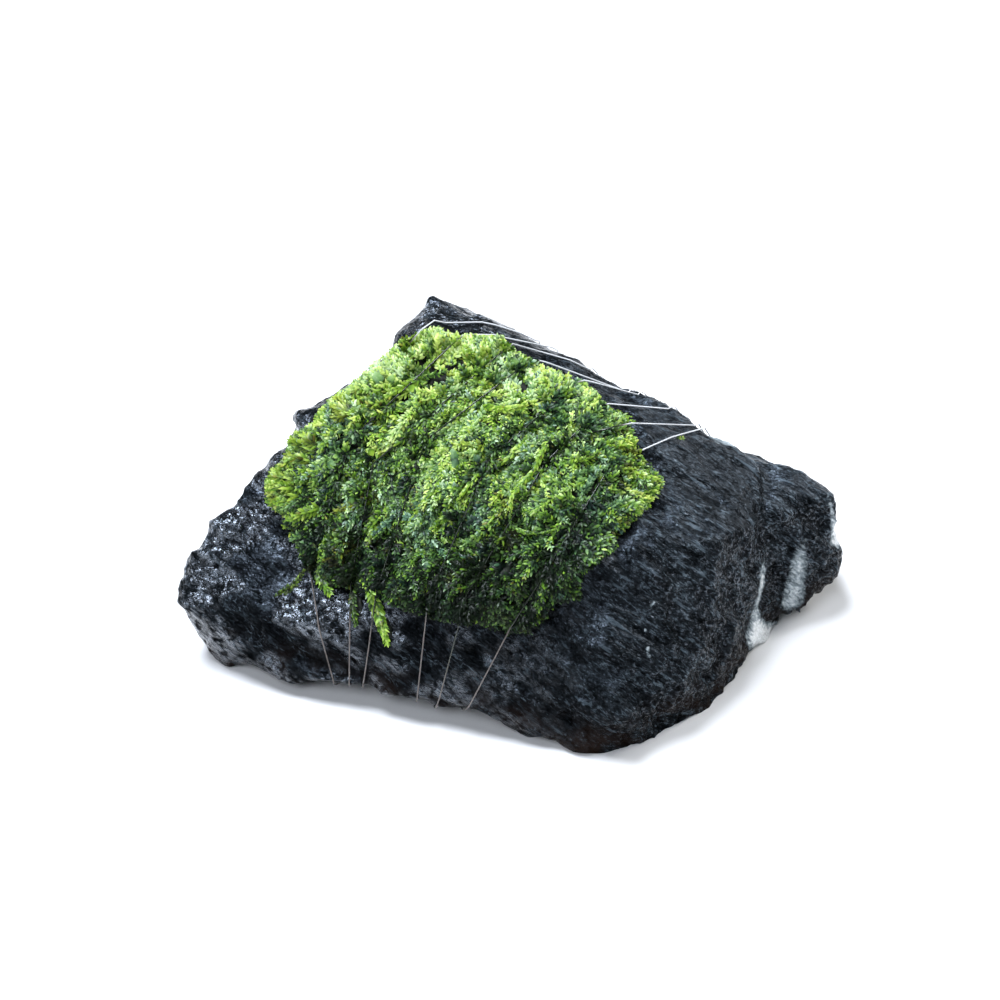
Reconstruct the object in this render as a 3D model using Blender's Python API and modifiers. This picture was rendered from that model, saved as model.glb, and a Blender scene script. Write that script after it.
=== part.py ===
# Willow moss tied on a black stone: a palm-sized stone with white calcite veins, a mat of
# moss on its sloping front, and one nylon line wound round both to hold the moss down.
# Metres, +Z up. +X runs along the stone, +Y goes away from the moss side.
# The origin is at the bottom centre of the whole, on the surface that the stone stands on.

import math

import bmesh
import bpy
from mathutils import Vector, kdtree, noise
from mathutils.bvhtree import BVHTree

MM = 0.001

# The stone's corners in millimetres. Each list is one convex lump, and the stone is their union.
BASE_Z = -1.2  # the rough underside, before the feet are levelled at zero
MAIN_BODY = (
    # the tip at the back, and the crest under the top of the moss
    (-13, 27, 41), (-19, 16, 38), (-12, 18, 40), (2, 12, 39.6), (13, 4, 38), (21, -3, 35.6),
    # the back edge, running down to the right
    (-7, 27, 37), (7, 19, 35), (15, 13, 34), (29, 5.2, 32.3), (34, 4.5, 30.5), (38, 3, 27.7),
    # the right end
    (38, -7, 24), (39, -10, 17), (38, -13, 10), (39, -12, BASE_Z), (43, -6, BASE_Z),
    # the right shoulder and the edge between the moss slope and the front face
    (13, -20.5, 29), (32, -14, 27.5), (-29, -19, 14), (-15, -22, 14), (1, -25, 15), (13, -27, 16),
    # the broad belly at the front and its lower edge
    (7, -32.5, 3), (16, -34, 9), (27, -27, 11), (34, -19, 8),
    # the underside
    (-29, -23.5, 2), (-7, -27.5, 2), (-26, -21, BASE_Z), (-6, -25, BASE_Z), (14, -32.5, BASE_Z),
    (22, -30.5, BASE_Z), (30, -24, BASE_Z), (-30, 15, BASE_Z), (-15, 28, BASE_Z), (4, 27, BASE_Z),
    (30, 13, BASE_Z), (42, 4, BASE_Z),
)
LEFT_WING = (
    (-19, 16, 38), (-26, 10, 34.5), (-41, 2, 25), (-48, -3, 20), (-52, -10, 15), (-53, -12, 11),
    (-51, -13, 5), (-47, -14, 12), (-38, -18, 13), (-29, -20, 14), (-15, -22, 14), (2, 12, 39),
    (-46, -15, BASE_Z), (-36, -20.5, BASE_Z), (-30, -23.3, 2), (-7, -26.5, 2), (-20, -21, BASE_Z),
    (-49, -4, BASE_Z), (-40, 7, BASE_Z), (-30, 16, BASE_Z), (-15, 26, BASE_Z),
)
LEFT_LEDGE = (
    (-34, 10, 31), (-26, 11, 35), (-33, 4, 29), (-24, 3, 32), (-36, 9, 27), (-36, 11, 20),
    (-24, 18, 26), (-22, 18, 33), (-38, 6, 12), (-20, 10, 20),
)
UPPER_LEDGE = (
    (-19.5, 16, 38), (-22, 14, 36.5), (-20, 18, 32), (-15, 20, 38), (-18, 12, 34), (-14, 24, 28),
    (-22, 19, 24), (-12, 16, 30),
)
RIGHT_LUMP = (
    (34, 6, 26), (39, 5, 25.6), (45, 4, 24.4), (50, 2, 20.8), (49, 0, 20), (51, -1, 15), (53, -0.5, 11),
    (51.3, -1.8, 6.8), (46.3, -7, 2.2), (41, -9.4, 3.2), (38, -6, 23), (36, -9, 6), (45, -3.5, 17),
    (51, 5, 3), (49, 8, 12), (46, 9, 17), (40, 15, 8), (36, 10, 21), (30, 6, 10),
)
LUMPS = (MAIN_BODY, LEFT_WING, LEFT_LEDGE, UPPER_LEDGE, RIGHT_LUMP)

STONE_VOXEL = 0.8 * MM
STONE_TRIANGLES = 3600
# How the surface is broken: the width of its chips, and how high and how tilted they lie.
STONE_CHIPS = ((13 * MM, 0.5 * MM, 0.10), (5.5 * MM, 0.4 * MM, 0.20))
STONE_PITS = (3.2 * MM, 0.28 * MM)  # wavelength and height of the pits and bumps on the chips
# The rock's layers run down to the right; its roughness is drawn out along them.
GRAIN = Vector((0.80, -0.20, -0.56)).normalized()
GRAIN_STRETCH = 2.2

# A shallow hollow crosses the underside, where the line passes without touching the surface below.
HOLLOW_HEADING = math.radians(42)
HOLLOW_RANGE = (-21 * MM, 18 * MM)
HOLLOW_DEPTH = 3.6 * MM
HOLLOW_EDGE = 4.0 * MM
HOLLOW_TOP = 7.0 * MM
FOOT_LEVEL = 0.05 * MM

# The moss mat is laid out on a plane that leans back like the slope it grows on.
MOSS_LEAN = math.radians(45)
MOSS_CENTRE = Vector((-7, -4, 30)) * MM
MOSS_NORMAL = Vector((0, -math.sin(MOSS_LEAN), math.cos(MOSS_LEAN)))
MOSS_ACROSS = Vector((1, 0, 0))
MOSS_UP = Vector((0, math.cos(MOSS_LEAN), math.sin(MOSS_LEAN)))
# The mat's edge in millimetres across and up the slope from its centre, clockwise from the top.
MOSS_OUTLINE = (
    (-6, 23.8), (-1.5, 22.4), (3, 22.4), (5, 21.8), (7, 20), (11, 17.6), (15, 16.2), (18, 15),
    (20, 13), (21, 11.2), (24.5, 9), (25.5, 5.5), (26.5, 3.5), (30, -0.3), (28, -3), (26.5, -5),
    (22.8, -7.9), (22, -10.5), (16.8, -14.4), (17, -18), (13, -18.8), (11.5, -21), (8.8, -23.6),
    (4.6, -23), (1.5, -22), (-2, -21.9), (-8.4, -20.5), (-12.7, -18.8), (-17, -16.8), (-21, -16),
    (-24.5, -14.4), (-26, -12.2), (-28.2, -7.6), (-29, -5), (-31.5, -3.7), (-32, 0.5), (-29.2, 3),
    (-27.5, 7), (-24.5, 9), (-22.8, 11.6), (-20, 14), (-17.4, 15.9), (-15.7, 18), (-11, 21.3),
)
MOSS_DEPTH = 4.8 * MM
MOSS_EDGE_DEPTH = 2.2 * MM
MOSS_LEAST = 1.3 * MM
MOSS_CLUMPS = ((7 * MM, 1.6 * MM), (3.2 * MM, 1.3 * MM))
MOSS_TRIANGLES = 1650
MOSS_BURIED = 2.0 * MM  # how far the uncut mat reaches into the stone, before the stone is cut from it

GAP = 0.3 * MM  # between pieces that touch

# The nylon line. Each turn passes these six places, in millimetres: under the front edge, the
# lower edge of the moss, the middle and the upper edge of the moss, the back edge, and under the
# back edge.
LINE_DIAMETER = 0.3 * MM
LINE_SIDES = 6
LINE_CLEAR = LINE_DIAMETER / 2 + GAP
LINE_TURNS = (
    ((-28, -22, 2), (-32, -12, 19), (-25.4, 3.6, 31.6), (-8.2, 17.4, 40.7), (5.5, 18.2, 37), (12, 25, 1)),
    ((-26, -22.5, 2), (-25.5, -15, 19), (-22.1, 0.4, 29.2), (-0.5, 16.2, 40), (11.5, 14.6, 35.8), (19, 21, 1)),
    ((-24, -23, 2), (-21.5, -17, 19), (-14, 2.3, 32.4), (2.5, 13, 39.2), (17.6, 11.2, 33.6), (22, 19, 1)),
    ((-15.5, -25, 2), (-13.5, -19.5, 20), (-4, -2.8, 33.5), (9.8, 10, 37.2), (19, 10.4, 33.2), (26.5, 16, 1)),
    ((-12.5, -26, 2), (-7.5, -20, 22), (4.6, -4.5, 34.4), (13.6, 5.1, 36.8), (23.6, 7.4, 33), (30.5, 14, 1)),
    ((-8.4, -27, 2), (-1, -24, 18), (13.8, -7.2, 34.8), (17.8, -4, 34.6), (29.4, 6, 31), (35, 13, 1)),
)
# Both ends lie tucked in the moss. The first passes the crest and the back edge from there. The
# second comes back up from the knot low on the back, over the back edge and the crest.
LINE_START = ((-17.5, 14.5, 41), (-11, 19.8, 41), (-3.2, 20.7, 39.8), (3.2, 20.6, 37.4), (6, 27, 1))
LINE_END = ((33.2, 11.3, 12), (31.2, 11.5, 12), (28, 5.8, 31.8), (14.3, 0.1, 36.5), (11.2, -0.2, 36.5))
# Which way the surface faces at the six places, and along the six stretches that follow them.
PLACE_FACING = ((0, -0.7, -0.7), (0, -0.8, 0.6), (0, -0.7, 0.7), (0, -0.6, 0.8), (0.3, 0.6, 0.75), (0.4, 0.7, -0.6))
STRETCH_FACING = ((0, -0.97, 0.24), (0, -0.7, 0.7), (0, -0.7, 0.7), (0.2, -0.3, 0.93), (0.5, 0.84, 0.2), (0, 0, -1))
START_FACING = (0.1, -0.1, 1)
LINE_PRESS = 0.7  # the share of the moss's depth that is left under the line
FURROW_WIDTH = 1.8 * MM  # how far beside the line the moss has swollen by one millimetre again
KNOT_RADIUS = 0.7 * MM

# Shoots that hang out of the mat: the points of each in millimetres on the moss plane, from its
# root in the mat to its tip, and its width.
SHOOTS = (
    (((-15.6, -16.5), (-14.4, -21.5), (-12.6, -25.6)), 2.4),
    (((-18.4, -15.5), (-18.0, -19.5), (-17.7, -22.6)), 1.5),
    (((-24.2, -13.5), (-22.6, -16.8), (-21.6, -18.4)), 1.9),
)
# Scraps of moss that lie loose on the stone: name, run and width as above.
SCRAPS = (
    ("moss_scrap_left", ((-30.6, -17.6), (-28.6, -16.8), (-27.2, -15.4)), 2.2),
    ("moss_scrap_right", ((32.2, 6.3), (32.7, 6.5), (33.2, 6.4)), 0.9),
)
SHOOT_THICKNESS = 0.9 * MM


# Helpers

def clear_scene():
    for old in list(bpy.data.objects):
        bpy.data.objects.remove(old, do_unlink=True)


def material(name, colour, roughness):
    made = bpy.data.materials.new(name)
    made.use_nodes = True
    shader = made.node_tree.nodes["Principled BSDF"]
    shader.inputs["Base Color"].default_value = (*colour, 1.0)
    shader.inputs["Roughness"].default_value = roughness
    shader.inputs["Metallic"].default_value = 0.0
    return made


def collection(name):
    made = bpy.data.collections.new(name)
    bpy.context.scene.collection.children.link(made)
    return made


def add_object(name, mesh, where):
    made = bpy.data.objects.new(name, mesh)
    where.objects.link(made)
    return made


def mesh_from(bm, name):
    mesh = bpy.data.meshes.new(name)
    bm.to_mesh(mesh)
    bm.free()
    return mesh


def as_helper(helper):
    helper.hide_render = True
    helper.display_type = "WIRE"
    return helper


def bake_modifiers(target):
    """Replaces an object's mesh by the mesh that its modifiers make, and drops them."""
    graph = bpy.context.evaluated_depsgraph_get()
    mesh = bpy.data.meshes.new_from_object(target.evaluated_get(graph), depsgraph=graph)
    target.modifiers.clear()
    target.data = mesh


def decimate_to(target, triangles):
    bm = bmesh.new()
    bm.from_mesh(target.data)
    bmesh.ops.triangulate(bm, faces=bm.faces)
    count = len(bm.faces)
    bm.to_mesh(target.data)
    bm.free()
    thin = target.modifiers.new("Thin", "DECIMATE")
    thin.ratio = min(1.0, triangles / count)
    bake_modifiers(target)


def boolean(target, cutter, operation):
    cut = target.modifiers.new(operation.title(), "BOOLEAN")
    cut.operation = operation
    cut.solver = "EXACT"
    cut.object = cutter
    bake_modifiers(target)


def keep_main_body(target):
    """Drops the crumbs that a cut has left beside the main body of a piece."""
    bm = bmesh.new()
    bm.from_mesh(target.data)
    left = set(bm.verts)
    bodies = []
    while left:
        body = set()
        edge = {left.pop()}
        while edge:
            body |= edge
            edge = {e.other_vert(v) for v in edge for e in v.link_edges} - body
        left -= body
        bodies.append(body)
    main_body = max(bodies, key=len)
    crumbs = [v for body in bodies if body is not main_body for v in body]
    bmesh.ops.delete(bm, geom=crumbs, context="VERTS")
    bm.to_mesh(target.data)
    bm.free()


def smooth_step(value, low, high):
    share = min(1.0, max(0.0, (value - low) / (high - low)))
    return share * share * (3 - 2 * share)


def tree_of(target):
    bm = bmesh.new()
    bm.from_mesh(target.data)
    made = BVHTree.FromBMesh(bm)
    bm.free()
    return made


# The stone

def add_hull(bm, corners):
    """Adds the convex hull of these corners, in millimetres, to a bmesh."""
    lump = bmesh.new()
    for corner in corners:
        lump.verts.new(Vector(corner) * MM)
    made = bmesh.ops.convex_hull(lump, input=lump.verts)
    spare = {v for key in ("geom_interior", "geom_unused") for v in made[key]
             if isinstance(v, bmesh.types.BMVert)}
    bmesh.ops.delete(lump, geom=list(spare), context="VERTS")
    bmesh.ops.recalc_face_normals(lump, faces=lump.faces)
    mesh = mesh_from(lump, "Lump")
    bm.from_mesh(mesh)
    bpy.data.meshes.remove(mesh)


def along_grain(point):
    """Squeezes a point along the rock's grain, so that noise read there is drawn out along it."""
    share = point.dot(GRAIN)
    return point - GRAIN * share * (1 - 1 / GRAIN_STRETCH)


def chip_height(point, width, height, tilt):
    """The height of a surface broken into flat chips, each one a tilted plane."""
    away, seeds = noise.voronoi(point / width)
    total = 0.0
    weights = 0.0
    for distance, seed in zip(away, seeds):
        weight = (1.0 - distance / away[3]) ** 5
        lean = 2 * noise.cell_vector(seed * 7.31) - Vector((1, 1, 1))
        level = noise.cell(seed * 5.17)
        total += weight * (height * level + tilt * (point - seed * width).dot(lean))
        weights += weight
    return total / max(weights, 1e-9)


def roughness_at(point):
    place = along_grain(point)
    height = sum(chip_height(place, *chips) for chips in STONE_CHIPS)
    wavelength, size = STONE_PITS
    return height + size * noise.noise(place / wavelength, noise_basis="PERLIN_NEW")


def hollow_lift(point):
    """How far the underside is raised, so that the line clears the surface below."""
    beside = -math.sin(HOLLOW_HEADING) * point.x + math.cos(HOLLOW_HEADING) * point.y
    low, high = HOLLOW_RANGE
    inside = (smooth_step(beside, low - HOLLOW_EDGE, low + HOLLOW_EDGE)
              * (1 - smooth_step(beside, high - HOLLOW_EDGE, high + HOLLOW_EDGE)))
    return HOLLOW_DEPTH * inside * (1 - smooth_step(point.z, 0.0, HOLLOW_TOP))


def level_feet(stone, reach):
    """Presses everything below this height flat on the surface that the stone stands on."""
    for vert in stone.data.vertices:
        if vert.co.z < reach:
            vert.co.z = 0.0


def remesh(target):
    union = target.modifiers.new("Union", "REMESH")
    union.mode = "VOXEL"
    union.voxel_size = STONE_VOXEL


def build_stone(parts):
    bm = bmesh.new()
    for corners in LUMPS:
        add_hull(bm, corners)
    stone = add_object("stone", mesh_from(bm, "stone"), parts)
    remesh(stone)
    worn = stone.modifiers.new("Worn", "SMOOTH")
    worn.factor = 0.5
    worn.iterations = 1
    bake_modifiers(stone)

    bm = bmesh.new()
    bm.from_mesh(stone.data)
    bm.normal_update()
    moved = [v.co + v.normal * roughness_at(v.co) for v in bm.verts]
    for vert, place in zip(bm.verts, moved):
        place.z += hollow_lift(place)
        vert.co = place
    bm.to_mesh(stone.data)
    bm.free()
    remesh(stone)
    bake_modifiers(stone)
    level_feet(stone, 0.0)
    decimate_to(stone, STONE_TRIANGLES)
    level_feet(stone, FOOT_LEVEL)
    stone.data.shade_smooth()
    stone.data.set_sharp_from_angle(angle=math.radians(40))
    return stone


# The moss plane

def to_plane(point):
    offset = point - MOSS_CENTRE
    return offset.dot(MOSS_ACROSS), offset.dot(MOSS_UP), offset.dot(MOSS_NORMAL)


def from_plane(across, up, out):
    return MOSS_CENTRE + MOSS_ACROSS * across + MOSS_UP * up + MOSS_NORMAL * out


def surface_under(tree, across, up):
    """How far out from the moss plane the stone's surface lies there."""
    start = 80 * MM
    hit = tree.ray_cast(from_plane(across, up, start), -MOSS_NORMAL)
    return start - hit[3] if hit[0] else None


def outline_reach(angle):
    """The mat's radius in a direction on its plane, where that direction meets the outline."""
    direction = Vector((math.cos(angle), math.sin(angle)))
    best = 0.0
    for index, first in enumerate(MOSS_OUTLINE):
        a = Vector(first) * MM
        edge = Vector(MOSS_OUTLINE[(index + 1) % len(MOSS_OUTLINE)]) * MM - a
        across = direction.x * edge.y - direction.y * edge.x
        if abs(across) < 1e-12:
            continue
        reach = (a.x * edge.y - a.y * edge.x) / across
        share = (a.x * direction.y - a.y * direction.x) / across
        if reach > 0 and -1e-6 <= share <= 1 + 1e-6:
            best = max(best, reach)
    return best


REACH_STEPS = 360
REACH = [outline_reach(2 * math.pi * step / REACH_STEPS) for step in range(REACH_STEPS)]


def reach_at(angle):
    place = (angle / (2 * math.pi)) % 1 * REACH_STEPS
    low = int(place) % REACH_STEPS
    return REACH[low] + (place - int(place)) * (REACH[(low + 1) % REACH_STEPS] - REACH[low])


def moss_depth(across, up):
    """The mat's smooth depth there, or zero outside its outline."""
    share = math.hypot(across, up) / reach_at(math.atan2(up, across))
    if share > 1.0001:
        return 0.0
    dome = max(0.0, 1 - share ** 3) ** 0.6
    return MOSS_EDGE_DEPTH + (MOSS_DEPTH - MOSS_EDGE_DEPTH) * dome


# The nylon line

def cover_above(tree, hit):
    """How far the pressed moss lies above this place on the stone."""
    across, up, out = to_plane(hit)
    depth = moss_depth(across, up)
    if depth <= 0:
        return 0.0
    top = surface_under(tree, across, up)
    if top is None or abs(top - out) > 1 * MM:
        return 0.0
    return max(depth * LINE_PRESS, MOSS_LEAST + 2 * GAP)


def put_on(tree, place, facing):
    """The place, moved along its facing until the line lies just clear of what is under it."""
    hit = tree.ray_cast(place + facing * 40 * MM, -facing)[0]
    return hit + facing * (LINE_CLEAR + cover_above(tree, hit))


def taut_stretch(tree, start, end, facing):
    """The line pulled tight between two places over a surface that faces this way."""
    steps = max(2, int((end - start).length / (0.8 * MM)))
    flat = []
    for step in range(steps + 1):
        share = step / steps
        base = start.lerp(end, share)
        height = 0.0
        if 0 < step < steps:
            hit = tree.ray_cast(base + facing * 25 * MM, -facing)[0]
            if hit is not None:
                height = (hit - base).dot(facing) + 1.1 * LINE_CLEAR + cover_above(tree, hit)
        while len(flat) > 1 and ((flat[-1][1] - flat[-2][1]) * (share - flat[-2][0])
                                 <= (height - flat[-2][1]) * (flat[-1][0] - flat[-2][0])):
            flat.pop()
        flat.append((share, height))
    return [start.lerp(end, share) + facing * height for share, height in flat]


def clear_of(tree, run):
    """The same run with a point every half millimetre, each pushed out where the stone is too near."""
    out = [run[0]]
    for start, end in zip(run, run[1:]):
        steps = max(1, round((end - start).length / (0.5 * MM)))
        out += [start.lerp(end, step / steps) for step in range(1, steps + 1)]
    for number, point in enumerate(out):
        near, normal, _, away = tree.find_nearest(point)
        if (point - near).dot(normal) < 0:
            out[number] = near + normal * LINE_CLEAR
        elif away < LINE_CLEAR:
            out[number] = near + (point - near) * LINE_CLEAR / away
    return out


def thin_out(points, tolerance):
    """Leaves out the points of an open run that lie within tolerance of the straight line past them."""
    if len(points) < 3:
        return points
    first, last = points[0], points[-1]
    span = (last - first).normalized()
    far = [(p - first - span * (p - first).dot(span)).length for p in points]
    worst = max(range(len(points)), key=far.__getitem__)
    if far[worst] < tolerance:
        return [first, last]
    return thin_out(points[:worst + 1], tolerance)[:-1] + thin_out(points[worst:], tolerance)


def line_route(tree):
    """The whole line from one tucked end to the other, and the place of its knot low on the back."""
    places = [(Vector(p) * MM, Vector(facing).normalized())
              for p, facing in zip(LINE_START, (START_FACING,) * 3 + PLACE_FACING[4:])]
    stretches = [START_FACING] * 3 + list(STRETCH_FACING[4:])
    for turn in LINE_TURNS:
        places += [(Vector(p) * MM, Vector(facing).normalized())
                   for p, facing in zip(turn, PLACE_FACING)]
        stretches += STRETCH_FACING
    back = STRETCH_FACING[4]
    places[-1:] = [(Vector(p) * MM, Vector(facing).normalized())
                   for p, facing in zip(LINE_END, (back, back, PLACE_FACING[4], PLACE_FACING[3], PLACE_FACING[2]))]
    stretches[-1:] = [back, back, STRETCH_FACING[3], STRETCH_FACING[2]]
    on = [put_on(tree, place, facing) for place, facing in places]
    on = [clear_of(tree, [place])[0] for place in on]
    route = [on[0]]
    for start, end, facing in zip(on, on[1:], stretches):
        run = taut_stretch(tree, start, end, Vector(facing).normalized())
        for _ in range(3):
            run = thin_out(clear_of(tree, run), 0.06 * MM)
        route += run[1:]
    return route, on[-len(LINE_END)].lerp(on[1 - len(LINE_END)], 0.5)


def tube_along(route, radius, name, where):
    """A round closed tube along a run of points."""
    curve = bpy.data.curves.new(name, "CURVE")
    curve.dimensions = "3D"
    curve.bevel_depth = radius
    curve.bevel_resolution = LINE_SIDES // 2 - 2
    curve.use_fill_caps = True
    spline = curve.splines.new("POLY")
    spline.points.add(len(route) - 1)
    for point, place in zip(spline.points, route):
        point.co = (*place, 1)
    guide = add_object("guide", curve, where)
    graph = bpy.context.evaluated_depsgraph_get()
    mesh = bpy.data.meshes.new_from_object(guide.evaluated_get(graph), depsgraph=graph)
    bpy.data.objects.remove(guide)
    bm = bmesh.new()
    bm.from_mesh(mesh)
    bmesh.ops.remove_doubles(bm, verts=bm.verts, dist=0.00002)
    bmesh.ops.recalc_face_normals(bm, faces=bm.faces)
    bm.to_mesh(mesh)
    bm.free()
    return add_object(name, mesh, where)


def build_line(route, knot_place, tree, parts, cutters):
    line = tube_along(route, LINE_DIAMETER / 2, "nylon_line", parts)
    bm = bmesh.new()
    bmesh.ops.create_icosphere(bm, subdivisions=2, radius=KNOT_RADIUS)
    near = tree.find_nearest(knot_place)[0]
    outwards = (knot_place - near).normalized()
    bmesh.ops.translate(bm, verts=bm.verts, vec=near + outwards * (KNOT_RADIUS + GAP))
    knot = as_helper(add_object("knot", mesh_from(bm, "knot"), cutters))
    boolean(line, knot, "UNION")
    line.data.shade_smooth()
    return line


# The moss mat

def build_moss(stone, tree, route, parts, cutters):
    # Where the line runs over the moss, for its furrows: points every half millimetre.
    over = []
    for a, b in zip(route, route[1:]):
        steps = max(1, int((b - a).length / (0.5 * MM)))
        for step in range(steps):
            across, up, out = to_plane(a.lerp(b, step / steps))
            above = surface_under(tree, across, up)
            if above is not None and out > above and moss_depth(across, up) > 0:
                over.append((across, up, out))
    furrows = kdtree.KDTree(len(over))
    for number, (across, up, out) in enumerate(over):
        furrows.insert((across, up, 0), number)
    furrows.balance()

    bm = bmesh.new()
    bmesh.ops.create_uvsphere(bm, u_segments=150, v_segments=72, radius=1)
    ground = 0.0
    for vert in bm.verts:
        # The ball is pressed flat: its upper half is the top of the mat, and its lower half
        # reaches a little into the stone.
        x, y, z = vert.co
        tilt = math.acos(max(-1.0, min(1.0, z)))
        lower = tilt > math.pi / 2 + 1e-4
        share = (math.pi - tilt if lower else tilt) / (math.pi / 2)
        angle = math.atan2(y, x)
        radius = min(share, 1.0) * reach_at(angle)
        across, up = radius * math.cos(angle), radius * math.sin(angle)
        below = surface_under(tree, across, up)
        ground = ground if below is None else below
        if lower:
            vert.co = from_plane(across, up, ground - MOSS_BURIED)
            continue
        depth = moss_depth(across, up)
        for wavelength, size in MOSS_CLUMPS:
            bump = noise.noise(Vector((across, up, 0)) / wavelength, noise_basis="PERLIN_NEW")
            depth += size * bump * min(1.0, depth / MOSS_DEPTH)
        _, nearest, beside = furrows.find((across, up, 0))
        floor = over[nearest][2] - ground - LINE_DIAMETER / 2 - 1.3 * GAP
        depth = min(depth, floor + MM * (beside / FURROW_WIDTH) ** 2)
        vert.co = from_plane(across, up, ground + max(depth, MOSS_LEAST))
    moss = add_object("willow_moss_mat", mesh_from(bm, "willow_moss_mat"), parts)
    decimate_to(moss, MOSS_TRIANGLES)

    for number, (points, width) in enumerate(SHOOTS):
        shoot = as_helper(build_shoot(f"shoot_{number}", points, width, tree, cutters))
        boolean(moss, shoot, "UNION")

    # The mat fits the stone: a copy of the stone, grown by the gap, is cut from it.
    grown = as_helper(add_object("grown_stone", stone.data.copy(), cutters))
    bm = bmesh.new()
    bm.from_mesh(grown.data)
    bm.normal_update()
    for vert in bm.verts:
        vert.co += vert.normal * GAP
    bm.to_mesh(grown.data)
    bm.free()
    boolean(moss, grown, "DIFFERENCE")
    boolean(moss, as_helper(tube_along(route, LINE_CLEAR, "furrow_cutter", cutters)), "DIFFERENCE")
    keep_main_body(moss)
    moss.data.shade_smooth()
    return moss


def build_shoot(name, points, width, tree, where):
    """A leafy shoot as a flat tapering body that lies along the stone."""
    (a0, u0), (a1, u1), (a2, u2) = (tuple(Vector(p) * MM) for p in points)
    bm = bmesh.new()
    bmesh.ops.create_uvsphere(bm, u_segments=8, v_segments=9, radius=1)
    for vert in bm.verts:
        along = (vert.co.z + 1) / 2
        a = (1 - along) ** 2 * a0 + 2 * along * (1 - along) * a1 + along ** 2 * a2
        u = (1 - along) ** 2 * u0 + 2 * along * (1 - along) * u1 + along ** 2 * u2
        way = Vector((2 * (1 - along) * (a1 - a0) + 2 * along * (a2 - a1),
                      2 * (1 - along) * (u1 - u0) + 2 * along * (u2 - u1))).normalized()
        side = vert.co.x * width / 2 * MM
        out = surface_under(tree, a, u) + GAP + 0.25 * MM + SHOOT_THICKNESS / 2 * (1 + vert.co.y)
        vert.co = from_plane(a - way.y * side, u + way.x * side, out)
    shoot = add_object(name, mesh_from(bm, name), where)
    shoot.data.shade_smooth()
    return shoot


def stand_on_origin(pieces):
    """Moves the whole so that the origin is at the bottom centre of its bounding box."""
    points = [vert.co for piece in pieces for vert in piece.data.vertices]
    low = Vector(min(p[axis] for p in points) for axis in range(3))
    high = Vector(max(p[axis] for p in points) for axis in range(3))
    shift = Vector((-(low.x + high.x) / 2, -(low.y + high.y) / 2, -low.z))
    for piece in pieces:
        for vert in piece.data.vertices:
            vert.co += shift


def main():
    clear_scene()
    parts = collection("willow_moss_on_stone")
    cutters = collection("cutters")
    stone = build_stone(parts)
    tree = tree_of(stone)
    route, knot_place = line_route(tree)
    moss = build_moss(stone, tree, route, parts, cutters)
    line = build_line(route, knot_place, tree, parts, cutters)
    scraps = [build_shoot(name, points, width, tree, parts) for name, points, width in SCRAPS]

    black_rock = material("black_rock", (0.018, 0.021, 0.025), 0.45)
    green_moss = material("green_moss", (0.09, 0.22, 0.02), 0.45)
    clear_nylon = material("clear_nylon", (0.75, 0.75, 0.73), 0.25)
    for piece, finish in ((stone, black_rock), (moss, green_moss), (line, clear_nylon),
                          *((scrap, green_moss) for scrap in scraps)):
        piece.data.materials.clear()
        piece.data.materials.append(finish)
    stand_on_origin([stone, moss, line, *scraps])


main()
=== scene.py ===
# Willow moss tied on a black stone with nylon line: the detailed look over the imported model.
# Lengths are in metres, unless a note says millimetres.

import math
import random

import bmesh
import bpy
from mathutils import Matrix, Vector, noise
from mathutils.bvhtree import BVHTree


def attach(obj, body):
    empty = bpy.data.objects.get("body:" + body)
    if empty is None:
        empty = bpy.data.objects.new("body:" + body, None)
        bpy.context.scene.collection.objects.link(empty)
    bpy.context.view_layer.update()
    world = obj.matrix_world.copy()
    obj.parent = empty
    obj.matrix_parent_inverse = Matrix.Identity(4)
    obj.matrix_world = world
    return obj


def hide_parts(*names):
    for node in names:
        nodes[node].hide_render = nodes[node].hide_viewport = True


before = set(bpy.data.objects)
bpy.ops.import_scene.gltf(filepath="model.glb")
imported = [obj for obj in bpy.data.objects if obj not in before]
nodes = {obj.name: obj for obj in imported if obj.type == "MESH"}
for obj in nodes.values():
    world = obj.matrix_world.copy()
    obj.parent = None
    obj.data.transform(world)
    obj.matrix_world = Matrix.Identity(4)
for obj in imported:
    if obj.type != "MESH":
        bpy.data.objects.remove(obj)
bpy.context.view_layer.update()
mm = 0.001

# The lists below are in the part's building coordinates, which this shift takes to the frame's.
frameShift = Vector((0.417, 3.066, 0)) * mm


# Helpers

def fromHex(code):
    channels = [int(code[place:place + 2], 16) / 255 for place in (0, 2, 4)]
    return [c / 12.92 if c <= 0.04045 else ((c + 0.055) / 1.055) ** 2.4 for c in channels] + [1.0]


def addNode(tree, kind, values=None, output=0):
    # adds a node and returns one of its outputs: a socket among the values is linked, stops make a ramp
    node = tree.nodes.new("ShaderNode" + kind)
    for name, value in (values or {}).items():
        if isinstance(value, bpy.types.NodeSocket):
            tree.links.new(value, node.inputs[name])
        elif name == "stops":
            while len(node.color_ramp.elements) < len(value):
                node.color_ramp.elements.new(0.5)
            for element, (place, colour) in zip(node.color_ramp.elements, value):
                element.position = place
                element.color = fromHex(colour) if isinstance(colour, str) else (colour,) * 3 + (1.0,)
        elif isinstance(name, int) or name in node.inputs:
            node.inputs[name].default_value = value
        else:
            setattr(node, name, value)
    return node.outputs[output] if node.outputs else None


def scaleFor(size):
    # a pattern's scale from the size of what repeats in it, in millimetres
    return 1 / (size * mm)


def newMaterial(name):
    material = bpy.data.materials.new(name)
    material.use_nodes = True
    material.node_tree.nodes.clear()
    return material, material.node_tree


def addPiece(name, bm, material):
    mesh = bpy.data.meshes.new(name)
    bm.to_mesh(mesh)
    bm.free()
    mesh.materials.append(material)
    mesh.shade_smooth()
    piece = bpy.data.objects.new(name, mesh)
    bpy.context.scene.collection.objects.link(piece)
    return piece


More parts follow.
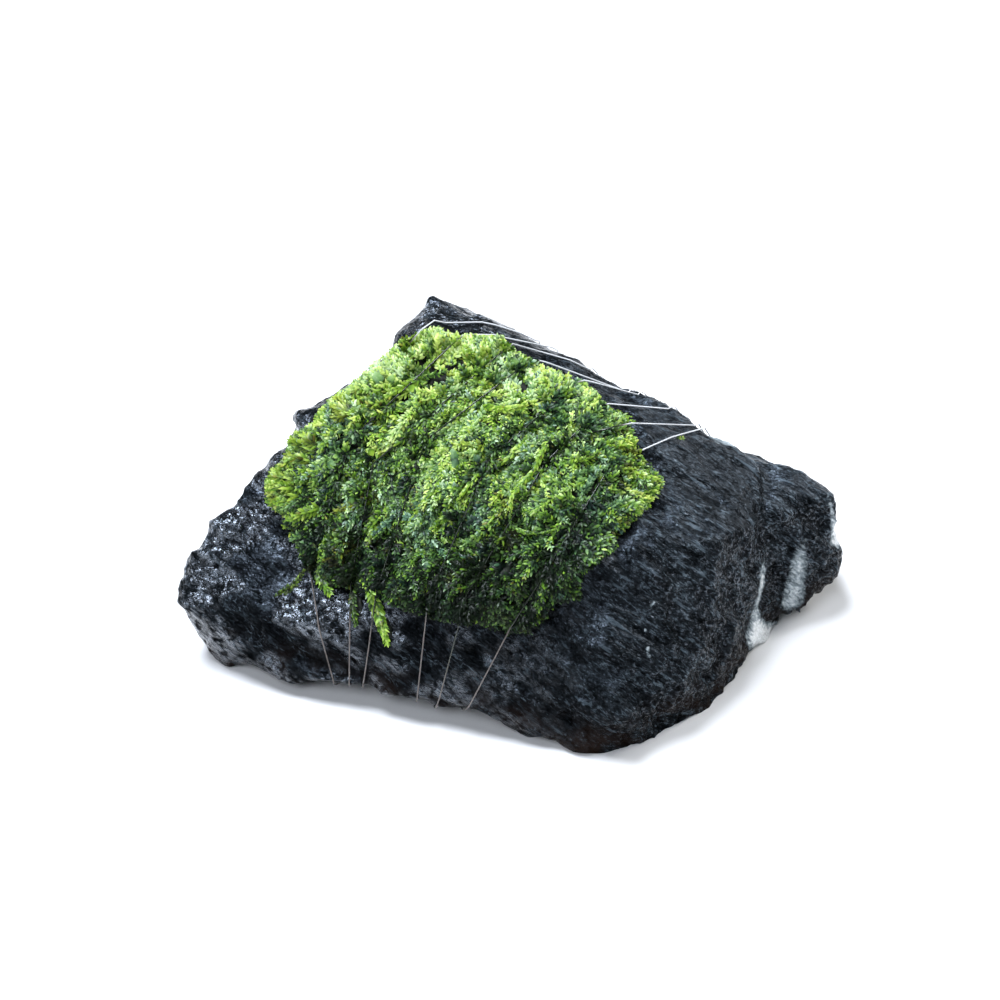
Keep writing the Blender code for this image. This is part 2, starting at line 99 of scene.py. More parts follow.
def bakeModifiers(piece):
    graph = bpy.context.evaluated_depsgraph_get()
    mesh = bpy.data.meshes.new_from_object(piece.evaluated_get(graph), depsgraph=graph)
    old = piece.data
    piece.modifiers.clear()
    piece.data = mesh
    bpy.data.meshes.remove(old)


def voxelRemesh(piece, size):
    remesh = piece.modifiers.new("Remesh", "REMESH")
    remesh.mode = "VOXEL"
    remesh.voxel_size = size
    bakeModifiers(piece)


def treeOf(mesh):
    bm = bmesh.new()
    bm.from_mesh(mesh)
    tree = BVHTree.FromBMesh(bm)
    bm.free()
    return tree


def smoothStep(value, low, high):
    share = min(1.0, max(0.0, (value - low) / (high - low)))
    return share * share * (3 - 2 * share)


# Camera: the photo looks down on the mossy slope at 45 degrees, from 600 mm away

view = {
    "target": Vector((-2.4, 0, 21.7)) * mm + frameShift,
    "distance": 600 * mm,
    "elevation": math.radians(45),
    "pixelsPerMm": 6.35,
    "imageSize": 1000,
    "sensor": 36.0,
    "clip": (0.05, 20),
}
viewBack = Vector((0, -math.cos(view["elevation"]), math.sin(view["elevation"])))
viewUp = Vector((0, math.sin(view["elevation"]), math.cos(view["elevation"])))
viewRight = Vector((1, 0, 0))
cameraPlace = view["target"] + viewBack * view["distance"]
focalPixels = view["pixelsPerMm"] * view["distance"] / mm

cameraData = bpy.data.cameras.new("Camera")
cameraData.sensor_width = view["sensor"]
cameraData.lens = focalPixels / view["imageSize"] * view["sensor"]
cameraData.clip_start, cameraData.clip_end = view["clip"]
camera = bpy.data.objects.new("Camera", cameraData)
camera.location = cameraPlace
camera.rotation_euler = (math.radians(90) - view["elevation"], 0, 0)
bpy.context.scene.collection.objects.link(camera)
bpy.context.scene.camera = camera


def rayThrough(across, down):
    # the camera's ray through a place in its image
    centre = view["imageSize"] / 2
    return (-viewBack * focalPixels + viewRight * (across - centre) + viewUp * (centre - down)).normalized()


def seenAt(tree, across, down):
    # the point and normal that the camera sees there
    hit = tree.ray_cast(cameraPlace, rayThrough(across, down))
    return hit[0], hit[1]


print("stage: camera")


# Stone

stoneSettings = {
    "voxel": 0.5 * mm,
    "baseZ": -1.2,  # millimetres
    # chips: width, height and tilt; pits: width and depth; layers: width, height and how far drawn out
    "chips": ((13 * mm, 0.5 * mm, 0.10), (5.5 * mm, 0.4 * mm, 0.20)),
    "pits": ((3.2 * mm, 0.28 * mm), (1.5 * mm, 0.20 * mm)),
    "layers": ((4.0 * mm, 0.34 * mm, 5.0), (1.6 * mm, 0.22 * mm, 6.0)),
    "layersFrom": (-10 * mm, 25 * mm),
    "grain": Vector((0.80, -0.20, -0.56)).normalized(),
    "grainStretch": 2.2,
    # a shallow hollow underneath, which the line runs through
    "hollowHeading": math.radians(42),
    "hollowRange": (-21 * mm, 18 * mm),
    "hollowDepth": 3.6 * mm,
    "hollowEdge": 4.0 * mm,
    "hollowTop": 7.0 * mm,
    "footLevel": 0.05 * mm,
    "lineClear": 0.14 * mm,
    "lineWidth": 0.3 * mm,
    "lineReach": 2.0 * mm,
    "knotReach": 0.75 * mm,
}
baseZ = stoneSettings["baseZ"]
# the corners of the lumps that make up the stone, in millimetres
stoneLumps = (
    # main body
    ((-13, 27, 41), (-19, 16, 38), (-12, 18, 40), (2, 12, 39.6), (13, 4, 38), (21, -3, 35.6), (-7, 27, 37),
     (7, 19, 35), (15, 13, 34), (29, 5.2, 32.3), (34, 4.5, 30.5), (38, 3, 27.7), (38, -7, 24), (39, -10, 17),
     (38, -13, 10), (39, -12, baseZ), (43, -6, baseZ), (13, -20.5, 29), (32, -14, 27.5), (-29, -19, 14),
     (-15, -22, 14), (1, -25, 15), (13, -27, 16), (7, -32.5, 3), (16, -34, 9), (27, -27, 11), (34, -19, 8),
     (-29, -23.5, 2), (-7, -27.5, 2), (-26, -21, baseZ), (-6, -25, baseZ), (14, -32.5, baseZ),
     (22, -30.5, baseZ), (30, -24, baseZ), (-30, 15, baseZ), (-15, 28, baseZ), (4, 27, baseZ),
     (30, 13, baseZ), (42, 4, baseZ)),
    # left wing
    ((-19, 16, 38), (-26, 10, 34.5), (-41, 2, 25), (-48, -3, 20), (-52, -10, 15), (-53, -12, 11),
     (-51, -13, 5), (-47, -14, 12), (-38, -18, 13), (-29, -20, 14), (-15, -22, 14), (2, 12, 39),
     (-46, -15, baseZ), (-36, -20.5, baseZ), (-30, -23.3, 2), (-7, -26.5, 2), (-20, -21, baseZ),
     (-49, -4, baseZ), (-40, 7, baseZ), (-30, 16, baseZ), (-15, 26, baseZ)),
    # left ledge
    ((-34, 10, 31), (-26, 11, 35), (-33, 4, 29), (-24, 3, 32), (-36, 9, 27), (-36, 11, 20), (-24, 18, 26),
     (-22, 18, 33), (-38, 6, 12), (-20, 10, 20)),
    # upper ledge
    ((-19.5, 16, 38), (-22, 14, 36.5), (-20, 18, 32), (-15, 20, 38), (-18, 12, 34), (-14, 24, 28),
     (-22, 19, 24), (-12, 16, 30)),
    # right lump
    ((34, 6, 26), (39, 5, 25.6), (45, 4, 24.4), (50, 2, 20.8), (49, 0, 20), (51, -1, 15), (53, -0.5, 11),
     (51.3, -1.8, 6.8), (46.3, -7, 2.2), (41, -9.4, 3.2), (38, -6, 23), (36, -9, 6), (45, -3.5, 17),
     (51, 5, 3), (49, 8, 12), (46, 9, 17), (40, 15, 8), (36, 10, 21), (30, 6, 10)),
)


def addHull(bm, corners):
    lump = bmesh.new()
    for corner in corners:
        lump.verts.new(Vector(corner) * mm)
    made = bmesh.ops.convex_hull(lump, input=lump.verts)
    spare = {v for key in ("geom_interior", "geom_unused") for v in made[key]
             if isinstance(v, bmesh.types.BMVert)}
    bmesh.ops.delete(lump, geom=list(spare), context="VERTS")
    bmesh.ops.recalc_face_normals(lump, faces=lump.faces)
    mesh = bpy.data.meshes.new("lump")
    lump.to_mesh(mesh)
    lump.free()
    bm.from_mesh(mesh)
    bpy.data.meshes.remove(mesh)


def alongGrain(point, stretch):
    # squeezes a point along the rock's grain, so that noise read there is drawn out along it
    grain = stoneSettings["grain"]
    return point - grain * point.dot(grain) * (1 - 1 / stretch)


def chipHeight(point, width, height, tilt):
    # the height of a surface broken into flat chips, each one a tilted plane
    away, seeds = noise.voronoi(point / width)
    total = 0.0
    weights = 0.0
    for distance, seed in zip(away, seeds):
        weight = (1.0 - distance / away[3]) ** 5
        lean = 2 * noise.cell_vector(seed * 7.31) - Vector((1, 1, 1))
        level = noise.cell(seed * 5.17)
        total += weight * (height * level + tilt * (point - seed * width).dot(lean))
        weights += weight
    return total / max(weights, 1e-9)


def roughnessAt(point):
    place = alongGrain(point, stoneSettings["grainStretch"])
    height = sum(chipHeight(place, *chips) for chips in stoneSettings["chips"])
    wavelength, size = stoneSettings["pits"][0]
    return height + size * noise.noise(place / wavelength, noise_basis="PERLIN_NEW")


def hollowLift(point):
    # how far the underside is raised, so that the line clears the surface below
    heading = stoneSettings["hollowHeading"]
    beside = -math.sin(heading) * point.x + math.cos(heading) * point.y
    low, high = stoneSettings["hollowRange"]
    edge = stoneSettings["hollowEdge"]
    inside = smoothStep(beside, low - edge, low + edge)
    inside *= 1 - smoothStep(beside, high - edge, high + edge)
    return stoneSettings["hollowDepth"] * inside * (1 - smoothStep(point.z, 0.0, stoneSettings["hollowTop"]))


def buildStone(material):
    bm = bmesh.new()
    for corners in stoneLumps:
        addHull(bm, corners)
    stone = addPiece("wet_stone", bm, material)
    voxelRemesh(stone, stoneSettings["voxel"])
    bm = bmesh.new()
    bm.from_mesh(stone.data)
    for _ in range(2):
        bmesh.ops.smooth_vert(bm, verts=bm.verts, factor=0.5, use_axis_x=True, use_axis_y=True,
                              use_axis_z=True)
    bm.normal_update()
    moved = [v.co + v.normal * roughnessAt(v.co) for v in bm.verts]
    for vert, place in zip(bm.verts, moved):
        place.z += hollowLift(place)
        vert.co = place
    bm.to_mesh(stone.data)
    bm.free()
    voxelRemesh(stone, stoneSettings["voxel"])

    # fine pits, and thin ridges where the rock's layers come out
    lineTree = treeOf(nodes["nylon_line"].data)
    bm = bmesh.new()
    bm.from_mesh(stone.data)
    bm.normal_update()
    pitWidth, pitSize = stoneSettings["pits"][1]
    relief = []
    moved = []
    for vert in bm.verts:
        pit = noise.noise(vert.co / pitWidth, noise_basis="PERLIN_NEW")
        height = pitSize * pit
        layered = smoothStep(vert.co.x, *stoneSettings["layersFrom"]) * 0.7 + 0.3
        for width, size, stretch in stoneSettings["layers"]:
            drawn = alongGrain(vert.co, stretch) / width
            layer = 1 - 2.5 * abs(noise.noise(drawn, noise_basis="PERLIN_NEW"))
            height += size * layered * (layer - 0.45)
        relief.append(0.5 + 0.5 * pit + 0.5 * layered * (layer - 0.45))
        moved.append(vert.co + vert.normal * height + frameShift)
    keep = stoneSettings["lineClear"]
    for vert, place in zip(bm.verts, moved):
        # the stone is let in under the line wherever it would touch or cover it
        near, normal, _, away = lineTree.find_nearest(place)
        over = (place - near).dot(vert.normal)
        beside = (place - near - vert.normal * over).length
        inLine = (place - near).dot(normal) < 0 and away < stoneSettings["knotReach"]
        if inLine or (0 < over < stoneSettings["lineReach"] and beside < 2 * keep):
            place -= vert.normal * (max(over, 0) + stoneSettings["lineWidth"] + keep)
        elif away < keep:
            place -= vert.normal * (keep - away)
        vert.co = place
        if place.z < stoneSettings["footLevel"]:
            vert.co.z = 0.0
    bm.to_mesh(stone.data)
    bm.free()
    # the relief is kept for the colour's painted shade in the pits and painted light on the ridges
    stone.data.attributes.new("relief", "FLOAT", "POINT").data.foreach_set("value", relief)
    slope = [vert.normal.z for vert in stone.data.vertices]
    stone.data.attributes.new("slope", "FLOAT", "POINT").data.foreach_set("value", slope)
    stone.data.materials.clear()
    stone.data.materials.append(material)
    stone.data.shade_smooth()
    return stone


# White calcite: how quickly each patch whitens inwards, and its outline in the camera's image
calciteShapes = (
    # the strand in the crease between the main body and the right lump
    (4.0, ((763.8, 556), (765.2, 574), (764.2, 585), (760.5, 598), (757.5, 607), (754, 605), (758.5, 594),
           (759.6, 584), (760.4, 574), (762.4, 566))),
    # the filled corner below it
    (1.1, ((757, 600), (759, 608), (761, 616), (767, 622), (780, 620), (792, 616), (782, 634), (769, 650),
           (757, 664), (749, 650), (744.5, 637), (749, 622), (751.5, 612))),
    # the wedge on the lump's face
    (0.42, ((807, 537), (806.5, 551), (809, 563), (807, 572), (806, 582), (806, 594), (804.5, 601),
            (799, 607), (788, 612), (781.5, 610), (781.5, 600), (784.5, 587), (788, 577), (790, 563),
            (793.5, 552), (801, 543.5))),
    # the strip at its right edge
    (2.5, ((828, 490), (832.5, 506), (835.5, 518), (840, 530), (843, 543), (838, 548), (829.5, 545),
           (831, 532), (831.5, 522), (830, 508), (827, 496))),
    # the pale rim behind: partly pale mineral, partly a painted rim highlight
    (0.8, ((706, 425), (722, 434), (742, 444), (744, 450), (730, 447), (719, 443), (708, 436))),
    # short flecks on the front
    (4.0, ((647, 647), (649, 646), (650.5, 657), (648, 658))),
    (4.0, ((640, 626), (642, 625), (646, 631), (644, 632))),
    (4.0, ((650, 605), (654, 600.5), (655, 602.5), (651.5, 607))),
)
calciteSettings = {
    "from": 20 * mm,  # nothing left of this is white
    "through": 6 * mm,  # how far a patch goes in behind the face that the camera sees
    "outside": -5.0,  # stored where there is none
}


def insideOutline(outline, x, y):
    # how far inside an outline a place lies; outside it, less than nothing
    inside = False
    nearest = 1e9
    for number, (x1, y1) in enumerate(outline):
        x0, y0 = outline[number - 1]
        dx, dy = x1 - x0, y1 - y0
        if (y0 > y) != (y1 > y) and x < x0 + dx * (y - y0) / dy:
            inside = not inside
        share = min(1.0, max(0.0, ((x - x0) * dx + (y - y0) * dy) / (dx * dx + dy * dy)))
        nearest = min(nearest, math.hypot(x - x0 - dx * share, y - y0 - dy * share))
    return nearest if inside else -nearest


def paintCalcite(stone):
    # stores how far inside the calcite each point lies, in millimetres
    tree = treeOf(stone.data)
    centre = view["imageSize"] / 2
    reach = []
    for vert in stone.data.vertices:
        best = calciteSettings["outside"]
        ray = vert.co - cameraPlace
        depth = -ray.dot(viewBack)
        if vert.co.x > calciteSettings["from"]:
            hit = tree.ray_cast(cameraPlace, ray.normalized())
            if hit[0] is None or hit[3] > ray.length - calciteSettings["through"]:
                across = centre + focalPixels * ray.dot(viewRight) / depth
                down = centre - focalPixels * ray.dot(viewUp) / depth
                for gain, outline in calciteShapes:
                    inside = insideOutline(outline, across, down) / view["pixelsPerMm"]
                    best = max(best, inside * gain if inside > 0 else inside)
        reach.append(best)
    stone.data.attributes.new("calcite", "FLOAT", "POINT").data.foreach_set("value", reach)


rockSettings = {
    "layerTurn": (0, 0.597, -0.245),
    # sizes in millimetres
    "bends": 1.111,
    "chips": 2.083,
    "knobs": 1.0,
    # name, how far drawn out along the layers, size in millimetres, detail and roughness; grains, fine knobs
    # and calcite fibres are coarser than the real ones, which would be too fine to show
    "noises": (("fineKnobs", 1.7, 0.5, 2.0, 0.5), ("grains", 2.6, 0.3846, 4.0, 0.7),
               ("strokes", 7.0, 1.111, 3.0, 0.6), ("patches", 1.6, 6.667, 2.0, 0.5),
               ("lift", 2.6, 2.381, 3.0, 0.6), ("stainAndReflectionPatches", 1.0, 5.882, 5.0, 0.5),
               ("torn", 2.6, 0.7692, 4.0, 0.6), ("fibres", 5.0, 0.4167, 3.0, 0.6)),
    # edges between chips: size of a chip in millimetres, and width as a share of it
    "edges": ((2.083, 0.05), (0.9091, 0.09)),
    # across the stone: the knobs fade out to the right, and the smoother, layered rock starts
    "knobsFade": (12 * mm, -20 * mm),
    "smoothFrom": 0.0,
    "smoothTo": 22 * mm,
}
rockColours = {
    "rock": ((0.2, "07080a"), (0.42, "111416"), (0.62, "1b1f22"), (0.74, "2f363b"), (0.86, "606a71")),
    # a painted highlight on the chips' proud edges, and painted shade in their opened ones
    "proudHighlight": "65727b",
    "openedShade": "020303",
    "crack": ((0.45, "010202"), (0.5, "5d6a73")),
    # brown low on the front, partly stain and partly a painted warm reflection
    "stainAndReflection": "2a1e17",
    "calcite": ((0.0, "3c4448"), (0.35, "7d878b"), (0.65, "b4bcbf"), (1.0, "eef1f1")),
    "gleam": "d2e5fb",
}


def blackStoneMaterial():
    # Wet, fine-grained black rock with white calcite: a satin, hackly face with wet glints on raised knobs.
    material, tree = newMaterial("wet black slate with calcite")
    coords = addNode(tree, "TexCoord", output="Object")
    relief, calcite, slope = (addNode(tree, "Attribute", {"attribute_name": name}, "Fac")
                              for name in ("relief", "calcite", "slope"))
    place = addNode(tree, "SeparateXYZ", {"Vector": coords}).node.outputs
    across, up = place["X"], place["Z"]
    level = addNode(tree, "MapRange", {"Value": slope, "From Min": 0.45, "From Max": 0.8})

    # coordinates drawn out along the rock's layers, whose edges run down to the right, and noises on them
    drawn = {1.0: coords}
    for share in (1.3, 1.6, 1.7, 2.6, 5.0, 7.0):
        drawn[share] = addNode(tree, "Mapping", {
            "vector_type": "TEXTURE", "Rotation": rockSettings["layerTurn"], "Scale": (share, 1, 1),
            "Vector": coords})
    fields = {}
    for name, share, size, detail, rough in rockSettings["noises"]:
        fields[name] = addNode(tree, "TexNoise", {"Scale": scaleFor(size), "Detail": detail,
                                                  "Roughness": rough, "Vector": drawn[share]}, "Fac")

    # chips about 2 mm across, each tilted its own way, with ragged edges
    bend = addNode(tree, "TexNoise", {"Scale": scaleFor(rockSettings["bends"]), "Detail": 3.0,
                                      "Roughness": 0.6, "Vector": coords}, "Color")
    bent = addNode(tree, "VectorMath", {"operation": "MULTIPLY_ADD", 0: bend, 1: (0.6 * mm,) * 3,
                                        2: drawn[2.6]})
    cells = addNode(tree, "TexVoronoi", {"Scale": scaleFor(rockSettings["chips"]), "Randomness": 1.0,
                                         "Vector": bent}).node.outputs
    lean = addNode(tree, "VectorMath", {"operation": "SUBTRACT", 0: cells["Color"], 1: (0.5, 0.5, 0.5)})
    offset = addNode(tree, "VectorMath", {"operation": "SUBTRACT", 0: bent, 1: cells["Position"]})
    tilted = addNode(tree, "VectorMath", {"operation": "DOT_PRODUCT", 0: offset, 1: lean}, "Value")
    chips = addNode(tree, "Math", {"operation": "MULTIPLY", 0: tilted, 1: 0.5})

    # rounded knobs just under a millimetre across, in patches at the front left
    bumpy = addNode(tree, "VectorMath", {"operation": "MULTIPLY_ADD", 0: bend, 1: (1.1 * mm,) * 3,
                                         2: drawn[1.3]})
    away = addNode(tree, "TexVoronoi", {"feature": "SMOOTH_F1", "Scale": scaleFor(rockSettings["knobs"]),
                                        "Smoothness": 0.35, "Vector": bumpy}, "Distance")
    squared = addNode(tree, "Math", {"operation": "MULTIPLY", 0: away, 1: away})
    knobs = addNode(tree, "Math", {"operation": "SUBTRACT", 0: 1.0, 1: squared})
    inPatch = addNode(tree, "MapRange", {"Value": fields["patches"], "From Min": 0.41, "From Max": 0.53})
    fadeFrom, fadeTo = rockSettings["knobsFade"]
    atLeft = addNode(tree, "MapRange", {"Value": across, "From Min": fadeFrom, "From Max": fadeTo})
    knobbly = addNode(tree, "Math", {"operation": "MULTIPLY", 0: inPatch, 1: atLeft})

    # rock colour: grain and patches of tone, with painted shade in its pits and painted light on its ridges,
    # and darker to the left
    reliefShadeAndGrain = addNode(tree, "Math", {"operation": "MULTIPLY_ADD", 0: relief, 1: 0.25, 2: fields["grains"]})
    height = addNode(tree, "Math", {"operation": "MULTIPLY_ADD", 0: fields["patches"], 1: 0.3, 2: reliefShadeAndGrain})
    toRight = {"Value": across, "From Min": rockSettings["smoothFrom"], "From Max": rockSettings["smoothTo"]}
    smooth = addNode(tree, "MapRange", {**toRight, "To Min": 0.25})
    lightness = addNode(tree, "MapRange", {"Value": height, "From Min": 0.45, "From Max": 1.1})
    lightness = addNode(tree, "Math", {"operation": "MULTIPLY", 0: lightness,
                                       1: addNode(tree, "MapRange", {**toRight, "To Min": 0.8})})
    rock = addNode(tree, "ValToRGB", {0: lightness, "stops": rockColours["rock"]})

    # the chips' edges: a painted highlight where they stand proud, painted shade where they have opened
    outlines = []
    for size, width in rockSettings["edges"]:
        away = addNode(tree, "TexVoronoi", {"feature": "DISTANCE_TO_EDGE", "Scale": scaleFor(size),
                                            "Vector": bent}, "Distance")
        outlines.append(addNode(tree, "MapRange", {"Value": away, "From Min": width, "From Max": 0.0}))
    edges = addNode(tree, "Math", {"operation": "MAXIMUM", 0: outlines[0], 1: outlines[1]})
    ragged = addNode(tree, "ValToRGB", {0: fields["grains"], "stops": ((0.46, 0.0), (0.60, 0.9))})
    broken = addNode(tree, "Math", {"operation": "MULTIPLY", 0: edges, 1: ragged})
    high = addNode(tree, "ValToRGB", {0: fields["lift"], "stops": ((0.50, 0.0), (0.60, 0.6))})
    proudHighlight = addNode(tree, "Math", {"operation": "MULTIPLY", 0: broken, 1: high})
    sunk = addNode(tree, "ValToRGB", {0: fields["lift"], "stops": ((0.42, 0.9), (0.50, 0.0))})
    openedShade = addNode(tree, "Math", {"operation": "MULTIPLY", 0: edges, 1: sunk})
    for share, name in ((proudHighlight, "proudHighlight"), (openedShade, "openedShade")):
        edgeColour = fromHex(rockColours[name])
        rock = addNode(tree, "Mix", {"data_type": "RGBA", 0: share, 6: rock, 7: edgeColour}, 2)

    # fine cracks and pale strokes along the layers, on the smoother right side
    cracks = addNode(tree, "ValToRGB", {0: fields["strokes"],
                                        "stops": ((0.36, 0.85), (0.43, 0.0), (0.60, 0.0), (0.66, 0.5))})
    cracked = addNode(tree, "Math", {"operation": "MULTIPLY", 0: cracks, 1: smooth})
    stroke = addNode(tree, "ValToRGB", {0: fields["strokes"], "stops": rockColours["crack"]})
    rock = addNode(tree, "Mix", {"data_type": "RGBA", 0: cracked, 6: rock, 7: stroke}, 2)

    # brown low on the front: partly staining, partly a painted warm reflection
    low = addNode(tree, "MapRange", {"Value": up, "From Min": 10 * mm, "From Max": 2 * mm})
    stainAndReflectionPatches = addNode(tree, "ValToRGB", {0: fields["stainAndReflectionPatches"], "stops": ((0.42, 0.0), (0.62, 0.6))})
    stainedAndReflecting = addNode(tree, "Math", {"operation": "MULTIPLY", 0: low, 1: stainAndReflectionPatches})
    brown = fromHex(rockColours["stainAndReflection"])
    rock = addNode(tree, "Mix", {"data_type": "RGBA", 0: stainedAndReflecting, 6: rock, 7: brown}, 2)

    # calcite: grey and glassy at its torn edges, white and fibrous further in
    ragged = addNode(tree, "Math", {"operation": "SUBTRACT", 0: fields["torn"], 1: 0.5})
    edge = addNode(tree, "Math", {"operation": "MULTIPLY_ADD", 0: ragged, 1: 1.1, 2: calcite})
    mask = addNode(tree, "MapRange", {"Value": edge, "From Min": -0.12, "From Max": 0.22})
    fibrous = addNode(tree, "Math", {"operation": "SUBTRACT", 0: fields["fibres"], 1: 0.5})
    depth = addNode(tree, "Math", {"operation": "MULTIPLY_ADD", 0: fibrous, 1: 2.6, 2: edge})
    depth = addNode(tree, "MapRange", {"Value": depth, "From Min": -0.3, "From Max": 1.3})
    white = addNode(tree, "ValToRGB", {0: depth, "stops": rockColours["calcite"]})
    colour = addNode(tree, "Mix", {"data_type": "RGBA", 0: mask, 6: rock, 7: white}, 2)

    # a thin film of water: each knob glints where it faces the light, and the opened edges, in painted shade,
    # stay dull
    steepFilm, levelFilm = (addNode(tree, "ValToRGB", {0: fields["fineKnobs"], "stops": stops})
                            for stops in (((0.44, 0.03), (0.55, 0.14), (0.64, 0.8)),
                                          ((0.42, 0.28), (0.56, 0.42), (0.66, 0.9))))
    fineFilm = addNode(tree, "Mix", {"data_type": "RGBA", 0: level, 6: steepFilm, 7: levelFilm}, 2)
    onKnob = addNode(tree, "ValToRGB", {0: knobs, "stops": ((0.45, 0.0), (0.68, 0.6), (0.85, 1.0))})
    knobFilm = addNode(tree, "Math", {"operation": "MULTIPLY", 0: knobbly, 1: onKnob})
    uneven = addNode(tree, "MapRange", {"Value": fields["lift"], "From Min": 0.40, "From Max": 0.54,
                                        "To Min": 0.5, "To Max": 1.5})
    knobFilm = addNode(tree, "Math", {"operation": "MULTIPLY", 0: knobFilm, 1: uneven})
    levelSheen = addNode(tree, "Math", {"operation": "MULTIPLY", 0: level, 1: 0.8})
    sheen = addNode(tree, "Math", {"operation": "MAXIMUM", 0: smooth, 1: levelSheen})
    drained = addNode(tree, "MapRange", {"Value": up, "From Min": 3 * mm, "From Max": 19 * mm, "To Min": 0.3})
    fineFilm = addNode(tree, "Math", {"operation": "MULTIPLY", 0: fineFilm, 1: drained})
    fineFilm = addNode(tree, "Math", {"operation": "MULTIPLY", 0: fineFilm, 1: sheen})
    film = addNode(tree, "Math", {"operation": "MAXIMUM", 0: fineFilm, 1: knobFilm})
    dry = addNode(tree, "MapRange", {"Value": up, "From Min": 1 * mm, "From Max": 10 * mm, "To Min": 0.35})
    film = addNode(tree, "Math", {"operation": "MULTIPLY", 0: film, 1: dry})
    closed = addNode(tree, "Math", {"operation": "SUBTRACT", 0: 1.0, 1: openedShade})
    wet = addNode(tree, "Math", {"operation": "MULTIPLY", 0: film, 1: closed})
    coat = addNode(tree, "Math", {"operation": "MULTIPLY", 0: knobFilm, 1: dry})
    grainRough = addNode(tree, "MapRange", {"Value": fields["grains"], "From Min": 0.3, "From Max": 0.7,
                                            "To Min": 0.3, "To Max": 0.46})
    smoothLevel = addNode(tree, "Math", {"operation": "MULTIPLY", 0: smooth, 1: level})
    satin = addNode(tree, "Math", {"operation": "MAXIMUM", 0: 0.42, 1: smoothLevel})
    rough = addNode(tree, "Math", {"operation": "MULTIPLY", 0: grainRough, 1: satin})

    # relief too fine for the mesh, from the coarsest to the finest
    upright = addNode(tree, "MapRange", {"Value": level, "From Min": 0.0, "To Min": 1.0, "To Max": 0.5})
    normal = addNode(tree, "Bump", {"Height": chips, "Distance": 1.0, "Strength": 1.0})
    for height, distance, strength in ((knobs, 0.7 * mm, knobbly), (fields["strokes"], 0.5 * mm, smooth),
                                       (fields["fineKnobs"], 0.4 * mm, upright),
                                       (fields["grains"], 0.06 * mm, 1.0)):
        normal = addNode(tree, "Bump", {"Height": height, "Distance": distance, "Strength": strength,
                                        "Normal": normal})
    shader = addNode(tree, "BsdfPrincipled",
                     {"IOR": 1.5, "Specular Tint": fromHex(rockColours["gleam"]), "Coat Roughness": 0.1,
                      "Coat IOR": 1.5, "Base Color": colour, "Roughness": rough, "Normal": normal,
                      "Specular IOR Level": wet, "Coat Weight": coat, "Coat Normal": normal})
    addNode(tree, "OutputMaterial", {"Surface": shader})
    return material


stone = buildStone(blackStoneMaterial())
paintCalcite(stone)
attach(stone, "root")
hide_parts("stone")
stoneTree = treeOf(stone.data)
print("stage: stone", len(stone.data.polygons), "faces")


# The slope that the moss grows on

mossCentre = Vector((-7, -4, 30)) * mm + frameShift
mossLean = math.radians(45)  # the slope of the mat
mossNormal = Vector((0, -math.sin(mossLean), math.cos(mossLean)))
mossUp = Vector((0, math.cos(mossLean), math.sin(mossLean)))
mossAcross = Vector((1, 0, 0))
# the mat's outline, in millimetres across and up the slope from its centre
mossOutline = (
    (-6, 23.8), (-1.5, 22.4), (3, 22.4), (5, 21.8), (7, 20), (11, 17.6), (15, 16.2), (18, 15),
    (20, 13), (21, 11.2), (24.5, 9), (25.5, 5.5), (26.5, 3.5), (30, -0.3), (28, -3), (26.5, -5),
    (22.8, -7.9), (22, -10.5), (16.8, -14.4), (17, -18), (13, -18.8), (11.5, -21), (8.8, -23.6),
    (4.6, -23), (1.5, -22), (-2, -21.9), (-8.4, -20.5), (-12.7, -18.8), (-17, -16.8), (-21, -16),
    (-24.5, -14.4), (-26, -12.2), (-28.2, -7.6), (-29, -5), (-31.5, -3.7), (-32, 0.5), (-29.2, 3),
    (-27.5, 7), (-24.5, 9), (-22.8, 11.6), (-20, 14), (-17.4, 15.9), (-15.7, 18), (-11, 21.3),
)
matTree = treeOf(nodes["willow_moss_mat"].data)
lineTree = treeOf(nodes["nylon_line"].data)


def toPlane(point):
    # a place in millimetres across, up and out from the moss plane
    offset = (point - mossCentre) / mm
    return offset.dot(mossAcross), offset.dot(mossUp), offset.dot(mossNormal)


def fromPlane(across, up, out):
    return mossCentre + (mossAcross * across + mossUp * up + mossNormal * out) * mm


def heightOn(tree, across, up, start=80, nothing=-40.0):
    # how far out from the moss plane a surface lies there, in millimetres
    hit = tree.ray_cast(fromPlane(across, up, start), -mossNormal)
    return start - hit[3] / mm if hit[0] else nothing


def insideBy(across, up):
    # how far inside the mat's outline a place lies, in millimetres
    return insideOutline(mossOutline, across, up)


def coveredBy(place):
    # the same for a place anywhere, as the camera sees it against the moss plane
    away = place - cameraPlace
    onPlane = cameraPlace + away * ((mossCentre - cameraPlace).dot(mossNormal) / away.dot(mossNormal))
    across, up, _ = toPlane(onPlane)
    return insideBy(across, up)


# Nylon line: the model's own tube with smooth sides, in clear nylon

lineSettings = {
    "merge": 0.000005,
    "thinner": 0.035 * mm,
    "wear": 1.111,  # size of its marks in millimetres
    # the line's colour, painted after what lies behind it: dark in moss, grey-brown on the front, white as a
    # painted reflection over the crest
    "tint": ((0.1, "20281c"), (0.35, "3a4034"), (0.6, "8a7f7a"), (1.0, "f2f4f6")),
    "onFront": 0.45,  # how light the line is on the dark front, where 1 is over the crest
    "crest": (14.0, 16.5),  # where the crest begins, in millimetres up the slope
    "inMoss": 1.5 * mm,
}


